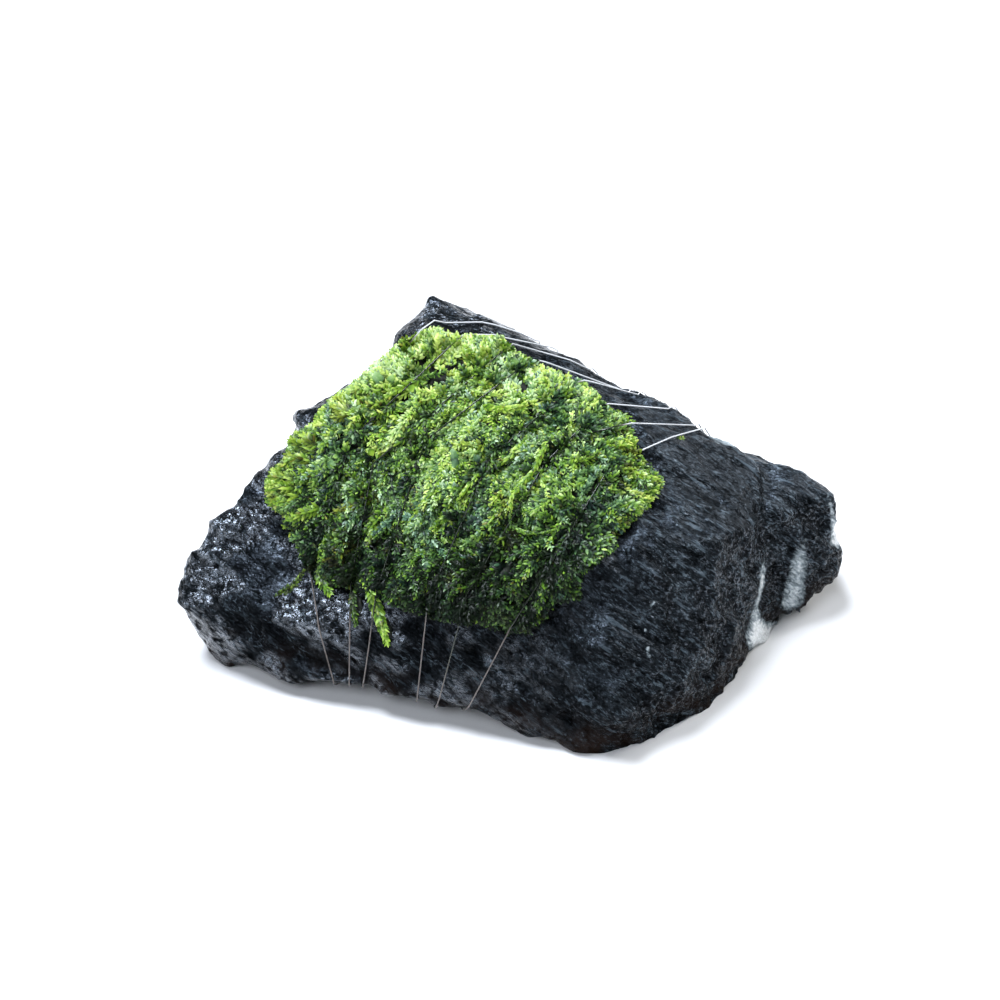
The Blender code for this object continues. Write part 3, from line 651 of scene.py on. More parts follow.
def nylonMaterial():
    # Clear drawn nylon: glossy and half see-through, its colour painted light: silvery white as a painted
    # reflection in the open, dark as painted shade where it is sunk in moss.
    material, tree = newMaterial("clear drawn nylon")
    coords = addNode(tree, "TexCoord", output="Object")
    behind = addNode(tree, "Attribute", {"attribute_name": "behind"}, "Fac")
    wear = addNode(tree, "TexNoise", {"Scale": scaleFor(lineSettings["wear"]), "Detail": 3.0,
                                      "Vector": coords}, "Fac")
    rough = addNode(tree, "MapRange", {"Value": wear, "To Min": 0.12, "To Max": 0.3})
    seen = addNode(tree, "Math", {"operation": "MULTIPLY_ADD", 0: wear, 1: 0.2, 2: behind})
    tint = addNode(tree, "ValToRGB", {0: seen, "stops": lineSettings["tint"]})
    shader = addNode(tree, "BsdfPrincipled", {"IOR": 1.53, "Transmission Weight": 0.3, "Base Color": tint,
                                              "Roughness": rough})
    addNode(tree, "OutputMaterial", {"Surface": shader})
    return material


def buildLine(material):
    bm = bmesh.new()
    bm.from_mesh(nodes["nylon_line"].data)
    bmesh.ops.remove_doubles(bm, verts=bm.verts, dist=lineSettings["merge"])
    bm.normal_update()
    for vert in bm.verts:
        vert.co -= vert.normal * lineSettings["thinner"]
    drawn = addPiece("drawn_line", bm, material)
    # painted light on the line, after what lies behind it: 0, dark, on the moss, a little on the dark front, 1,
    # a painted white reflection, over the crest and back
    onFront = lineSettings["onFront"]
    behind = []
    for vert in drawn.data.vertices:
        across, up, _ = toPlane(vert.co)
        crest = smoothStep(across * 0.5 + up, *lineSettings["crest"])
        inMoss = 0.0
        if matTree.find_nearest(vert.co)[3] < lineSettings["inMoss"]:
            inMoss = smoothStep(coveredBy(vert.co), -0.2, 0.6)
        behind.append((onFront + (1 - onFront) * crest) * (1 - inMoss))
    drawn.data.attributes.new("behind", "FLOAT", "POINT").data.foreach_set("value", behind)
    drawn.data.shade_smooth()
    return drawn


drawnLine = buildLine(nylonMaterial())
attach(drawnLine, "root")
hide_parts("nylon_line")
print("stage: nylon line")


# Moss bed and shoots

bedSettings = {
    "merge": 0.00001,
    "voxel": 0.6 * mm,
    # how much of the mat's thickness the bed keeps under the shoots, and in the sprigs below the mat
    "keepShare": 0.5,
    "sprigShare": 0.25,
    "shrink": 0.965,
    "lump": (1.3, 0.35),  # width in millimetres, and height as a share of the bed's
    "deepest": 4.0,  # millimetres
    "fibres": 0.7143,  # millimetres from one old stem to the next
    # nearly black: partly the old stems' colour, partly painted shade in the gaps between the leaves
    "colours": ((0.35, "040704"), (0.52, "0b1207"), (0.68, "18200b")),
}


def mossBedMaterial():
    # The matted old stems and silt between the leaves: damp and fibrous, and nearly black, partly their own
    # colour and partly painted shade in the gaps between the leaves.
    material, tree = newMaterial("matted moss stems in painted shade")
    coords = addNode(tree, "TexCoord", output="Object")
    fibres = addNode(tree, "TexNoise", {"Scale": scaleFor(bedSettings["fibres"]), "Detail": 5.0,
                                        "Distortion": 0.6, "Vector": coords}, "Fac")
    colour = addNode(tree, "ValToRGB", {0: fibres, "stops": bedSettings["colours"]})
    bump = addNode(tree, "Bump", {"Strength": 0.8, "Distance": 0.3 * mm, "Height": fibres})
    shader = addNode(tree, "BsdfPrincipled", {"Roughness": 0.6, "Specular IOR Level": 0.3,
                                              "Base Color": colour, "Normal": bump})
    addNode(tree, "OutputMaterial", {"Surface": shader})
    return material


def buildBed(material):
    bm = bmesh.new()
    bm.from_mesh(nodes["willow_moss_mat"].data)
    bmesh.ops.remove_doubles(bm, verts=bm.verts, dist=bedSettings["merge"])
    bed = addPiece("moss_bed", bm, material)
    voxelRemesh(bed, bedSettings["voxel"])
    wavelength, size = bedSettings["lump"]
    shrink = bedSettings["shrink"]
    for vert in bed.data.vertices:
        across, up, out = toPlane(vert.co)
        ground = max(heightOn(stoneTree, across, up), out - bedSettings["deepest"])
        if out > ground:
            lump = noise.noise(Vector((across, up, 0)) / wavelength)
            keep = bedSettings["keepShare" if insideBy(across, up) > 0 else "sprigShare"]
            out = ground + (out - ground) * (keep + size * lump * keep)
        vert.co = fromPlane(across * shrink, up * shrink, out)
    bed.data.shade_smooth()
    return bed


leafSettings = {
    # share along the leaf and half-width as a share of the widest, at its two rows of edge points
    "rows": ((0.28, 0.86), (0.66, 0.80)),
    "keelPlace": 0.45,
    "keel": 0.42,
    "tipFall": 0.16,
    # how much lighter than the leaf's own tone its root, edges, keel and tip are: painted shade at the root, in
    # the gaps between leaves, and painted light towards the tip
    "tones": (-0.34, -0.12, -0.12, 0.02, 0.03, 0.03, 0.18),
    # a leaf's corners: root, low edges, keel, high edges, tip
    "faces": ((0, 3, 1), (0, 2, 3), (1, 3, 4), (3, 2, 5), (4, 3, 6), (3, 5, 6)),
    "stemSides": 3,
    "stemTaper": 0.6,
    # a leaf's face leans away from the stem and back from its way
    "faceLean": (0.25, 0.2),
    # how far leaves differ in turn round the stem, angle to it, face, tone and hue
    "turnJitter": 0.25,
    "angleJitter": 0.18,
    "faceJitter": 0.18,
    "toneJitter": 0.13,
    "hueJitter": 0.12,
    # by the tip of a shoot, leaves are this much shorter, narrower and lighter than at its root
    "tipShorter": 0.35,
    "tipNarrower": 0.3,
    "tipLighter": 0.14,
    # share of the leaves, and the tone or hue that they have more: the pale ones partly tone at random and
    # partly painted glints
    "pale": (0.05, 0.22),
    "yellow": (0.025, 0.9),
    # share of the leaves too near the line that stay, and how raggedly the mat's outline cuts leaves off
    "overLine": 0.5,
    "outlineJitter": (-0.1, 0.35),
    "firstLeaf": 0.1,  # millimetres up the shoot
}


class LeafMesh:
    # collects the leaves and stems of one piece
    def __init__(self):
        self.places = []
        self.faces = []
        self.tone = []
        self.hue = []

    def addLeaf(self, root, way, out, length, width, tone, hue):
        side = way.cross(out).normalized()
        out = side.cross(way)
        half = width / 2
        first = len(self.places)
        (lowShare, lowWide), (highShare, highWide) = leafSettings["rows"]
        low = root + way * (length * lowShare) - out * (half * leafSettings["keel"])
        high = root + way * (length * highShare) - out * (half * leafSettings["keel"])
        self.places += [root, low - side * (half * lowWide), low + side * (half * lowWide),
                        root + way * (length * leafSettings["keelPlace"]),
                        high - side * (half * highWide), high + side * (half * highWide),
                        root + way * length - out * (length * leafSettings["tipFall"])]
        self.faces += [tuple(first + corner for corner in face) for face in leafSettings["faces"]]
        # each corner's tone, with painted shade at the root and painted light at the tip
        self.tone += [tone + more for more in leafSettings["tones"]]
        self.hue += [hue] * len(leafSettings["tones"])

    def addStem(self, path, radius, tone, hue):
        ring = leafSettings["stemSides"]
        start = len(self.places)
        for number, place in enumerate(path):
            way = (path[min(number + 1, len(path) - 1)] - path[max(number - 1, 0)]).normalized()
            side = way.cross(mossNormal).normalized()
            out = side.cross(way)
            size = radius * (1 - leafSettings["stemTaper"] * number / len(path))
            for corner in range(ring):
                turn = 2 * math.pi * corner / ring
                self.places.append(place + (side * math.cos(turn) + out * math.sin(turn)) * size)
            if number:
                low = start + (number - 1) * ring
                for corner in range(ring):
                    after = (corner + 1) % ring
                    self.faces.append((low + corner, low + after, low + ring + after, low + ring + corner))
        self.tone += [tone] * (ring * len(path))
        self.hue += [hue] * (ring * len(path))

    def toPiece(self, name, material):
        mesh = bpy.data.meshes.new(name)
        mesh.from_pydata(self.places, [], self.faces)
        mesh.attributes.new("leafTone", "FLOAT", "POINT").data.foreach_set("value", self.tone)
        mesh.attributes.new("leafHue", "FLOAT", "POINT").data.foreach_set("value", self.hue)
        mesh.materials.append(material)
        mesh.shade_smooth()
        piece = bpy.data.objects.new(name, mesh)
        bpy.context.scene.collection.objects.link(piece)
        triangles = sum(len(face) - 2 for face in self.faces)
        print("moss piece", name, triangles, "triangles")
        return piece


leafColours = {
    "green": ((0.08, "0d1808"), (0.34, "294316"), (0.57, "567f1b"), (0.80, "8bb034"), (1.0, "b8cf64")),
    "yellow": ((0.05, "18180a"), (0.4, "4a4a12"), (0.7, "8a922c"), (1.0, "bcc45a")),
    "cool": ((0.08, "08120f"), (0.43, "203a2f"), (0.7, "52785a"), (1.0, "a6c4a4")),
    "cells": 0.3846,  # millimetres: coarser than real leaf cells, so that they show
}


def mossLeafMaterial():
    # Wet willow moss leaves: thin, glossy, light green at the tips and blue-green in the shade.
    material, tree = newMaterial("wet willow moss leaf")
    coords = addNode(tree, "TexCoord", output="Object")
    tone, hue = (addNode(tree, "Attribute", {"attribute_name": name}, "Fac")
                 for name in ("leafTone", "leafHue"))
    cells = addNode(tree, "TexNoise", {"Scale": scaleFor(leafColours["cells"]), "Detail": 3.0,
                                       "Vector": coords}, "Fac")
    mottled = addNode(tree, "Math", {"operation": "MULTIPLY_ADD", 0: cells, 1: 0.3, 2: tone})
    green, yellow, cool = (addNode(tree, "ValToRGB", {0: mottled, "stops": leafColours[name]})
                           for name in ("green", "yellow", "cool"))
    warmShare = addNode(tree, "MapRange", {"Value": hue, "From Min": 0.1, "From Max": 1.0})
    coolShare = addNode(tree, "MapRange", {"Value": hue, "From Min": -0.1, "From Max": -1.0})
    colour = addNode(tree, "Mix", {"data_type": "RGBA", 0: warmShare, 6: green, 7: yellow}, 2)
    colour = addNode(tree, "Mix", {"data_type": "RGBA", 0: coolShare, 6: colour, 7: cool}, 2)
    rough = addNode(tree, "MapRange", {"Value": cells, "To Min": 0.3, "To Max": 0.55})
    # the gloss follows the tone, painted shade included
    gloss = addNode(tree, "ValToRGB", {0: mottled, "stops": ((0.1, 0.12), (0.5, 0.45), (0.9, 0.6))})
    bump = addNode(tree, "Bump", {"Strength": 0.25, "Distance": 0.1 * mm, "Height": cells})
    shader = addNode(tree, "BsdfPrincipled",
                     {"IOR": 1.42, "Coat Weight": 0.12, "Coat Roughness": 0.12, "Coat IOR": 1.33,
                      "Base Color": colour, "Roughness": rough, "Normal": bump, "Specular IOR Level": gloss})
    addNode(tree, "OutputMaterial", {"Surface": shader})
    return material


shootSettings = {
    # lengths here are in millimetres
    "seed": 11,
    "step": 0.45,
    "leafEvery": 0.16,
    "leafLength": (0.8, 1.3),
    "leafWidth": (0.38, 0.62),
    "stemRadius": 0.09,
    # share of the shoots, how deep they are rooted, how far their tips rise, and their tone: darker in the
    # deeper layers, as painted shade under the upper ones
    "layers": ((0.34, 1.6, -0.9, 0.0), (0.42, 1.0, -0.25, 0.2), (0.24, 0.6, 0.2, 0.34)),
    "count": 2000,
    "across": (-32, 30),
    "up": (-25, 24),
    "length": (3.0, 9.0),
    "lineClear": 0.26,
    "thinnest": 0.4,
    # the fringe: how often, how long, how far inside the outline it is rooted, and its tone
    "edgeEvery": 0.4,
    "edgeLength": (1.6, 3.6),
    "edgeInside": (1.2, 3.6),
    "edgeTone": 0.28,
    # the way shoots run: heading, how far it wanders over how many millimetres, and shoots that cross it
    "heading": math.radians(240),
    "wander": (1.6, 9),
    "waver": 0.55,
    "crossing": (0.22, (180, 90, -90)),
    "outwardsFrom": (0.55, 0.95),  # where they turn outwards, as shares of the way to the edge
    "scatter": 0.35,
    "bend": 0.11,
    "sinkCurve": 1.4,
    # steepest fall and rise along a shoot, and how high it lies on the bare stone at its root and more by its
    # tip, and at least
    "steepest": (0.75, 0.9),
    "onStone": (0.45, 0.2, 0.3),
    # the middle of the mat and its reach across and up
    "middle": -2.5,
    "reach": (28.5, 21.5),
    # leaves: turn of the side ranks round the stem, their angle to it at the root and what it loses by the
    # tip, and the angle of the middle rank
    "ranks": 3,
    "rankTurn": math.radians(84),
    "sideAngle": (58, 20),
    "middleAngle": 20,
    # bands from the top: the lowest place of each
    "bands": (10, 1, -8),
    # moss back over the line: columns and rows, how near the line, its tone, and its patches
    "overEvery": (0.75, (0.5, 1.0)),
    "overNear": 0.7,
    "overTone": 0.26,
    "overPatches": (3.2, -0.12),
    "overSteps": 7,
}
rng = random.Random(shootSettings["seed"])


def jitter(spread):
    return rng.gauss(0, spread)


def coverAt(across, up):
    # the height of the moss's own surface, the stone's, and whether there is moss there
    mat = heightOn(matTree, across, up)
    ground = heightOn(stoneTree, across, up)
    return max(mat, ground), ground, mat > ground + shootSettings["thinnest"]


def edgeShare(across, up):
    # 0 in the middle of the mat, about 1 at its edge
    reachAcross, reachUp = shootSettings["reach"]
    return math.hypot((across - shootSettings["middle"]) / reachAcross, up / reachUp)


def flowAt(across, up):
    # the way a shoot runs: along the line's turns in the middle, and outwards near the edge
    outwards = math.atan2(up * 1.2, across - shootSettings["middle"])
    size, width = shootSettings["wander"]
    wander = size * noise.noise(Vector((across, up, 3)) / width)
    along = shootSettings["heading"] + wander + jitter(shootSettings["waver"])
    crossShare, turns = shootSettings["crossing"]
    if rng.random() < crossShare:
        along += math.radians(rng.choice(turns))
    weight = smoothStep(edgeShare(across, up), *shootSettings["outwardsFrom"])
    x = math.cos(along) * (1 - weight) + math.cos(outwards) * weight
    y = math.sin(along) * (1 - weight) + math.sin(outwards) * weight
    return math.atan2(y, x) + jitter(shootSettings["scatter"])


def growPath(across, up, heading, length, sink, lift, overhang, nothing=-35):
    # a shoot's path over the mat, from as deep as it is rooted to its tip, and not far past the mat's edge
    step = shootSettings["step"]
    fall, rise = shootSettings["steepest"]
    atRoot, byTip, atLeast = shootSettings["onStone"]
    steps = max(3, int(length / step))
    path = []
    level = None
    outside = 0.0
    for number in range(steps + 1):
        share = number / steps
        cover, ground, onMoss = coverAt(across, up)
        outside = 0.0 if onMoss else outside + step
        if outside > overhang or ground < nothing:
            break
        wanted = ground + atRoot + byTip * share
        if onMoss:
            wanted = cover - sink * (1 - share) ** shootSettings["sinkCurve"] + lift * share
        level = wanted if level is None else min(max(wanted, level - fall * step), level + rise * step)
        path.append(fromPlane(across, up, max(level, ground + atLeast)))
        heading += jitter(shootSettings["bend"])
        across += math.cos(heading) * step
        up += math.sin(heading) * step
    return path


def nearLine(place):
    return lineTree.find_nearest(place)[3] / mm


def leafUp(leaves, path, tone, hue, sizes=(1.0, 1.0), clear=None, bounded=True, spread=1.0):
    # sets leaves in three ranks along a path, with their faces turned out from the slope
    if len(path) < 3:
        return
    leaf = leafSettings
    faceAway, faceBack = leaf["faceLean"]
    (paleGlintShare, paleGlint), (yellowShare, yellower) = leaf["pale"], leaf["yellow"]
    ranks = shootSettings["ranks"]
    sideAngle, closing = shootSettings["sideAngle"]
    free = shootSettings["lineClear"] if clear is None else clear
    runs = [0.0]
    for a, b in zip(path, path[1:]):
        runs.append(runs[-1] + (b - a).length / mm)
    total = runs[-1]
    place = leaf["firstLeaf"]
    index = 0
    rank = rng.randrange(ranks)
    while place < total:
        while runs[index + 1] < place:
            index += 1
        share = (place - runs[index]) / (runs[index + 1] - runs[index])
        root = path[index].lerp(path[index + 1], share)
        way = (path[index + 1] - path[index]).normalized()
        side = way.cross(mossNormal).normalized()
        out = side.cross(way)
        age = place / total
        rank = (rank + 1) % ranks
        turn = (rank - 1) * shootSettings["rankTurn"] + jitter(leaf["turnJitter"])
        away = out * math.cos(turn) + side * math.sin(turn)
        angle = math.radians(sideAngle - closing * age if rank != 1 else shootSettings["middleAngle"])
        angle = (angle + jitter(leaf["angleJitter"])) * spread
        leafWay = (way * math.cos(angle) + away * math.sin(angle)).normalized()
        face = away * faceAway + out - way * faceBack * math.sin(angle)
        face = (face + Vector([jitter(leaf["faceJitter"]) for _ in range(3)])).normalized()
        length = rng.uniform(*shootSettings["leafLength"]) * sizes[0] * (1 - leaf["tipShorter"] * age ** 3) * mm
        width = rng.uniform(*shootSettings["leafWidth"]) * sizes[1] * (1 - leaf["tipNarrower"] * age ** 3) * mm
        middle = root + leafWay * (length * 0.6)
        isFree = free == 0 or min(nearLine(middle), nearLine(root)) > free or rng.random() < leaf["overLine"]
        if isFree and (not bounded or coveredBy(middle) > rng.gauss(*leaf["outlineJitter"])):
            bright = tone + 0.02 + leaf["tipLighter"] * age ** 2 + jitter(leaf["toneJitter"])
            # a few leaves made pale, partly as painted glints
            bright += paleGlint if rng.random() < paleGlintShare else 0
            shade = hue + jitter(leaf["hueJitter"]) + (yellower if rng.random() < yellowShare else 0)
            leaves.addLeaf(root, leafWay, face, length, width, bright, shade)
        # leaves sit closer together on shoots that hold them close
        place += shootSettings["leafEvery"] * rng.uniform(0.85, 1.2) * (1.0 if spread == 1 else 0.7)


# Slow changes over the mat, as tones and hues added from one place to another: lower and upper half, from left
# to right, at the edge, in clumps, and in the furrows under the line. The dark lower half and light upper half
# are painted shade and painted light, and the dark furrows painted shade.
toneSettings = {
    "lowest": -0.43,
    "lower": (0.47, -18, 0),
    "upper": (0.27, 0, 18),
    "right": (0.03, -30, -5),
    "edge": (0.06, 0.8, 1.0),
    "clumps": (0.15, 4),
    "furrow": (0.30, 0.2, 1.4),
    "hue": -0.28,
    "edgeHue": (0.2, 0.8, 1.05),
    "clumpHue": (0.75, 5),
}


def ease(name, value):
    size, low, high = toneSettings[name]
    return size * smoothStep(value, low, high)


def clump(name, across, up, seed):
    size, width = toneSettings[name]
    return size * noise.noise(Vector((across, up, seed)) / width)


def regionTone(across, up):
    share = edgeShare(across, up)
    # painted shade low on the slope and painted light high on it
    tone = toneSettings["lowest"] + ease("lower", up) + ease("upper", up) + ease("right", across)
    tone += ease("edge", share) + clump("clumps", across, up, 8)
    # painted shade in the furrows along the line
    toLine = nearLine(fromPlane(across, up, heightOn(matTree, across, up)))
    size, near, far = toneSettings["furrow"]
    tone -= size * (1 - smoothStep(toLine, near, far))
    hue = ease("edgeHue", share) + toneSettings["hue"] + clump("clumpHue", across, up, 21)
    return tone, hue


def bandOf(up):
    # the piece that a shoot rooted there belongs to, from the top down
    return sum(up <= lowest for lowest in shootSettings["bands"])


def seenOnMoss(across, down):
    # the place and normal that the camera sees there, on the moss or the stone
    mat, matNormal = seenAt(matTree, across, down)
    rock, rockNormal = seenAt(stoneTree, across, down)
    if mat is None or (rock is not None and (rock - cameraPlace).length < (mat - cameraPlace).length):
        return rock, rockNormal
    return mat, matNormal


def pathSeen(points):
    # an even run of places through what the camera sees at these points, each with a height in millimetres
    found = []
    for across, down, lift in points:
        place = seenOnMoss(across, down)[0]
        if place is None:
            ray = rayThrough(across, down)
            depth = (found[-1] - cameraPlace).dot(mossNormal) / ray.dot(mossNormal)
            place = cameraPlace + ray * depth
        found.append(place + mossNormal * lift * mm)
    path = []
    for number in range(len(found) - 1):
        before = found[max(number - 1, 0)]
        start, end = found[number], found[number + 1]
        after = found[min(number + 2, len(found) - 1)]
        steps = max(1, round((end - start).length / mm / shootSettings["step"]))
        for step in range(steps):
            t = step / steps
            path.append(0.5 * (2 * start + (end - before) * t
                               + (2 * before - 5 * start + 4 * end - after) * t ** 2
                               + (3 * start - before - 3 * end + after) * t ** 3))
    return path + [found[-1]]


# Shoots that stand out: places in the camera's image and heights in millimetres, tone, hue, leaf length
# and width, and whether the stem shows
standOuts = (
    # sprigs that hang below the mat
    (((364, 572, -0.3), (371, 590, 0.2), (376, 605, 0.2), (381, 622, 0.2), (387, 642, 0.1)), 0.5, -0.1,
     (1.35, 1.3), True),
    (((366, 574, -0.3), (374, 592, 0.0), (379, 610, 0.0), (385, 630, 0.1)), 0.4, 0.1, (1.3, 1.3), False),
    (((361, 574, -0.3), (369, 592, 0.1), (375, 612, 0.1), (383, 634, 0.1)), 0.42, -0.1, (1.2, 1.2), False),
    (((352, 586, -0.2), (353, 600, 0.1), (354, 613, 0.1), (355, 625, 0.1)), 0.18, 0.3, (1.0, 1.0), True),
    (((317, 570, -0.2), (323, 584, 0.1), (330, 593, 0.1)), 0.4, 0.1, (1.2, 1.1), True),
    # a curved shoot low in the middle
    (((509, 498, 0.2), (509, 514, 0.4), (513, 526, 0.4), (525, 532, 0.4), (541, 533, 0.4), (557, 529, 0.2)),
     0.38, 0.05, (0.75, 0.8), False),
    # spiky tufts at the left edge
    (((352, 412, -0.2), (343, 410, 0.2), (333, 407, 0.3)), 0.5, 0.9, (1.5, 1.0), False),
    (((350, 408, -0.2), (342, 402, 0.2), (337, 397, 0.2)), 0.5, 0.8, (1.5, 1.0), False),
    (((350, 415, -0.2), (340, 417, 0.2), (331, 418, 0.2)), 0.45, 0.9, (1.4, 1.0), False),
    (((318, 446, -0.2), (305, 438, 0.2), (295, 432, 0.2)), 0.5, 0.55, (1.5, 1.0), False),
    (((316, 452, -0.2), (304, 447, 0.2), (291, 441, 0.2)), 0.5, 0.5, (1.5, 1.0), False),
    (((312, 462, -0.2), (300, 458, 0.2), (289, 455, 0.2)), 0.45, 0.55, (1.5, 1.0), False),
    (((300, 480, -0.2), (286, 478, 0.2), (273, 476, 0.2)), 0.5, 0.45, (1.6, 1.05), False),
    (((298, 488, -0.2), (284, 488, 0.2), (270, 490, 0.2)), 0.5, 0.4, (1.6, 1.05), False),
    (((300, 496, -0.2), (287, 500, 0.2), (273, 504, 0.2)), 0.45, 0.5, (1.5, 1.0), False),
    (((322, 508, 0.1), (308, 512, 0.4), (294, 519, 0.3), (284, 527, 0.2)), 0.5, 0.4, (1.4, 1.0), True),
    # tips at the right edge
    (((628, 468, -0.2), (644, 476, 0.2), (659, 481, 0.2)), 0.55, 0.35, (1.1, 1.0), True),
    (((606, 411, -0.2), (619, 415, 0.2), (632, 421, 0.1)), 0.5, 0.35, (1.1, 1.0), True),
    # long bright shoots over the middle
    (((534, 433, 0.0), (522, 443, 0.5), (509, 458, 0.6), (488, 468, 0.6), (474, 479, 0.5), (462, 494, 0.3),
      (450, 512, 0.0)), 0.5, 0.1, (1.0, 1.0), True),
    (((549, 440, 0.0), (541, 453, 0.5), (534, 469, 0.6), (522, 483, 0.6), (512, 496, 0.5), (511, 514, 0.3)),
     0.55, 0.0, (1.1, 1.05), True),
    (((480, 406, 0.2), (496, 409, 0.6), (513, 408, 0.6), (534, 401, 0.2)), 0.6, 0.2, (1.2, 1.1), True),
    (((482, 397, 0.2), (497, 395, 0.6), (511, 389, 0.3)), 0.6, 0.2, (1.2, 1.0), True),
    (((440, 476, 0.2), (432, 492, 0.5), (420, 508, 0.5), (410, 524, 0.2)), 0.5, 0.1, (1.1, 1.0), True),
    (((470, 500, 0.2), (452, 512, 0.5), (436, 526, 0.5), (424, 542, 0.2)), 0.42, 0.1, (1.0, 1.0), True),
    (((420, 378, 0.2), (404, 386, 0.5), (388, 396, 0.4)), 0.55, 0.3, (1.1, 1.0), False),
)
# Small round leaves among the moss: place in the image, width in millimetres, tone and hue
roundLeaves = (
    (378, 378, 2.3, 0.55, -0.6), (391, 380, 1.7, 0.5, -0.4), (332, 465, 1.9, 0.6, -0.7),
    (453, 455, 2.2, 0.5, -0.7), (455, 463, 1.6, 0.45, -0.8), (477, 458, 1.5, 0.4, -0.8),
    (514, 361, 1.7, 0.5, -0.5), (414, 390, 1.9, 0.6, 0.1), (371, 452, 1.3, 0.55, 0.2),
    (566, 452, 1.5, 0.5, -0.4), (590, 500, 1.5, 0.4, 0.1), (428, 566, 1.4, 0.4, -0.8),
    (400, 545, 1.5, 0.5, 0.2), (545, 585, 1.4, 0.35, 0.1), (470, 472, 1.4, 0.6, 0.7),
    (352, 500, 1.3, 0.4, -0.5),
)


def tieOver(bands):
    # moss that has grown or slipped back over the line, so that it shows only in stretches
    column, rows = shootSettings["overEvery"]
    width, level = shootSettings["overPatches"]
    steps = shootSettings["overSteps"]
    across = shootSettings["across"][0] + 1.0
    while across < shootSettings["across"][1] - 1:
        up = shootSettings["up"][0] + 1.0
        while up < shootSettings["up"][1] - 1:
            cover, _, onMoss = coverAt(across, up)
            place = fromPlane(across, up, cover)
            inPatch = noise.noise(Vector((across, up, 40)) / width) > level
            if onMoss and nearLine(place) < shootSettings["overNear"] and inPatch:
                heading = flowAt(across, up)
                way = mossAcross * math.cos(heading) + mossUp * math.sin(heading)
                path = []
                for step in range(steps):
                    arch = 0.15 + 0.45 * math.sin(step / (steps - 1) * math.pi)
                    path.append(place + way * step * 0.4 * mm + mossNormal * arch * mm)
                more, hue = regionTone(across, up)
                tone = shootSettings["overTone"] + more + jitter(0.1)
                leafUp(bands[bandOf(up)], path, tone, hue + jitter(0.25), clear=0)
            up += rng.uniform(*rows)
        across += column


def fillMat(bands):
    # shoots all over the mat, in three layers
    made = 0
    while made < shootSettings["count"]:
        across = rng.uniform(*shootSettings["across"])
        up = rng.uniform(*shootSettings["up"])
        if not coverAt(across, up)[2]:
            continue
        made += 1
        pick = rng.random()
        for share, sink, lift, tone in shootSettings["layers"]:
            if pick < share:
                break
            pick -= share
        heading = flowAt(across, up)
        length = rng.uniform(*shootSettings["length"])
        path = growPath(across, up, heading, length, sink, lift, 0.5)
        more, hue = regionTone(across, up)
        leafUp(bands[bandOf(up)], path, tone + more + jitter(0.09), hue + jitter(0.25))


def addFringe(bands):
    # short shoots round the mat's edge, pointing outwards
    for number, corner in enumerate(mossOutline):
        start = Vector(corner)
        run = Vector(mossOutline[(number + 1) % len(mossOutline)]) - start
        steps = max(1, int(run.length / shootSettings["edgeEvery"]))
        outwards = math.atan2(run.x, -run.y)
        for step in range(steps):
            inside = rng.uniform(*shootSettings["edgeInside"])
            place = start + run * ((step + rng.random()) / steps)
            heading = outwards + jitter(0.75)
            across = place.x - math.cos(outwards) * inside
            up = place.y - math.sin(outwards) * inside
            cover, ground, onMoss = coverAt(across, up)
            if not onMoss:
                continue
            sink = rng.uniform(0.1, 0.8) * (cover - ground)
            length = rng.uniform(*shootSettings["edgeLength"])
            path = growPath(across, up, heading, length, sink, -sink * 0.6, 0.8)
            more, hue = regionTone(place.x, place.y)
            large = rng.uniform(0.9, 1.25)
            tone = shootSettings["edgeTone"] + more + jitter(0.1)
            leafUp(bands[bandOf(up)], path, tone, hue + jitter(0.2), (large, 0.95))


def addStandOuts(bands):
    # long shoots on the mat hold their leaves closer than the tufts and sprigs at its edge
    for points, tone, hue, sizes, hasStem in standOuts:
        isLongOnMat = len(points) > 3 and points[0][1] < 500
        spread = 0.5 if isLongOnMat else 0.8
        path = pathSeen(points)
        leaves = bands[bandOf(toPlane(path[0])[1])]
        leafUp(leaves, path, tone - 0.12, hue * 0.6, sizes, bounded=False, spread=spread)
        if hasStem:
            leaves.addStem(path, shootSettings["stemRadius"] * mm, tone - 0.25, hue * 0.6)
    for across, down, width, tone, hue in roundLeaves:
        place, normal = seenOnMoss(across, down)
        way = (mossUp * rng.uniform(-1, 1) + mossAcross * rng.uniform(-1, 1)).normalized()
        leaves = bands[bandOf(toPlane(place)[1])]
        out = (normal + mossNormal).normalized()
        root = place + out * 0.35 * mm - way * width * 0.5 * mm
        leaves.addLeaf(root, way, out, width * mm, width * 0.9 * mm, tone, hue)


mossBed = buildBed(mossBedMaterial())
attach(mossBed, "root")
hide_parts("willow_moss_mat")
leafMaterial = mossLeafMaterial()
bandNames = ("moss_shoots_top", "moss_shoots_upper", "moss_shoots_lower", "moss_shoots_bottom")
bands = [LeafMesh() for _ in bandNames]
for grow in (fillMat, addFringe, tieOver, addStandOuts):
    grow(bands)
for name, leaves in zip(bandNames, bands):
    shoots = leaves.toPiece(name, leafMaterial)
    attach(shoots, "root")

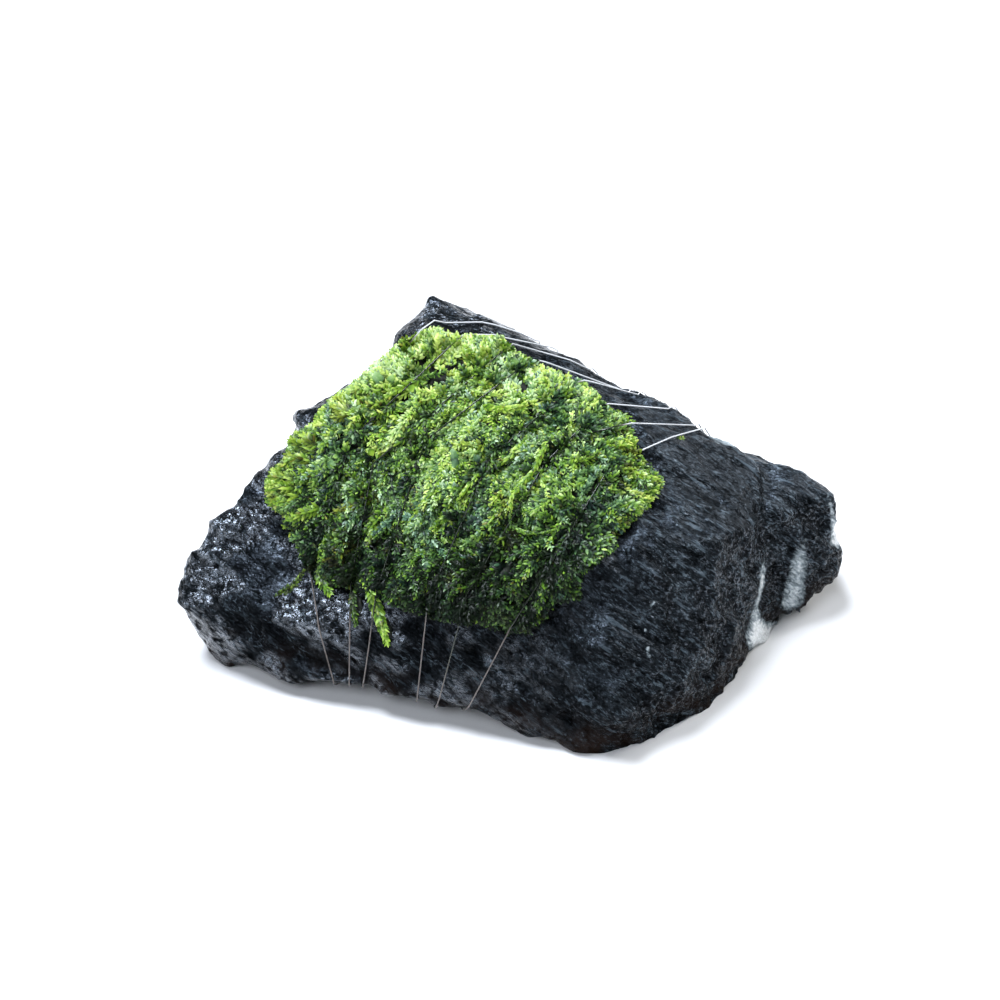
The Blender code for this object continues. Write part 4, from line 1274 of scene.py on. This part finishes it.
# Loose scraps beside the mat: name, the node each stands for, places and heights, tone, hue and leaf size
scraps = (
    ("scrap_on_the_left", "moss_scrap_left", (
        ((273, 598, 0.0), (284, 592, 0.1), (294, 584, 0.1), (306, 569, 0.0)),
        ((277, 594, 0.0), (288, 589, 0.1), (299, 582, 0.0)),
        ((282, 597, 0.0), (292, 590, 0.0), (301, 575, 0.0))), 0.08, 0.35, (0.7, 0.85)),
    ("scrap_on_the_right", "moss_scrap_right", (
        ((677, 440, -0.2), (681, 439, 0.0), (685, 438, 0.0)),), 0.4, 0.3, (0.7, 0.9)),
)
for name, node, runs, tone, hue, sizes in scraps:
    leaves = LeafMesh()
    for points in runs:
        leafUp(leaves, pathSeen(points), tone, hue, sizes, bounded=False)
    scrap = leaves.toPiece(name, leafMaterial)
    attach(scrap, "root")
    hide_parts(node)
print("stage: moss")


# Floor and light

floorSettings = {
    "size": 3.0,
    "grain": 16.67,  # size of the paper's cloudiness in millimetres
    "colours": ((0.3, "f1f1f0"), (0.7, "f4f4f3")),
}


def buildFloor():
    # A matt sheet of pale paper, plain to the eye, with a faint cloudiness.
    material, tree = newMaterial("pale matt paper sweep")
    coords = addNode(tree, "TexCoord", output="Object")
    grain = addNode(tree, "TexNoise", {"Scale": scaleFor(floorSettings["grain"]), "Detail": 4.0,
                                       "Vector": coords}, "Fac")
    colour = addNode(tree, "ValToRGB", {0: grain, "stops": floorSettings["colours"]})
    shader = addNode(tree, "BsdfPrincipled", {"Roughness": 0.9, "Specular IOR Level": 0.2,
                                              "Base Color": colour})
    addNode(tree, "OutputMaterial", {"Surface": shader})
    bm = bmesh.new()
    bmesh.ops.create_grid(bm, x_segments=1, y_segments=1, size=floorSettings["size"])
    floor = addPiece("floor", bm, material)


lightSettings = {
    "aim": (0, 0, 0.02),
    # name, place, width, power and colour
    "lamps": (("key light", (-0.28, 0.22, 1.0), 0.5, 20.0, "eef4ff"),
              ("front light", (-0.35, -0.6, 0.9), 0.6, 5.0, "eef4ff"),
              ("back light", (0.8, 0.38, 0.72), 0.5, 7.0, "ffffff")),
    "skyColour": "dfeaf6",
    "skyStrength": 0.10,
}


def addLight(name, place, size, power, colour):
    light = bpy.data.lights.new(name, "AREA")
    light.shape = "DISK"
    light.size = size
    light.energy = power
    light.color = fromHex(colour)[:3]
    lamp = bpy.data.objects.new(name, light)
    lamp.location = place
    aim = Vector(lightSettings["aim"]) - Vector(place)
    lamp.rotation_euler = aim.to_track_quat("-Z", "Y").to_euler()
    bpy.context.scene.collection.objects.link(lamp)


buildFloor()
for lamp in lightSettings["lamps"]:
    addLight(*lamp)
world = bpy.data.worlds.new("studio")
world.use_nodes = True
sky = world.node_tree.nodes["Background"].inputs
sky["Color"].default_value = fromHex(lightSettings["skyColour"])
sky["Strength"].default_value = lightSettings["skyStrength"]
bpy.context.scene.world = world
bpy.context.scene.view_settings.view_transform = "Standard"
print("stage: floor and light")
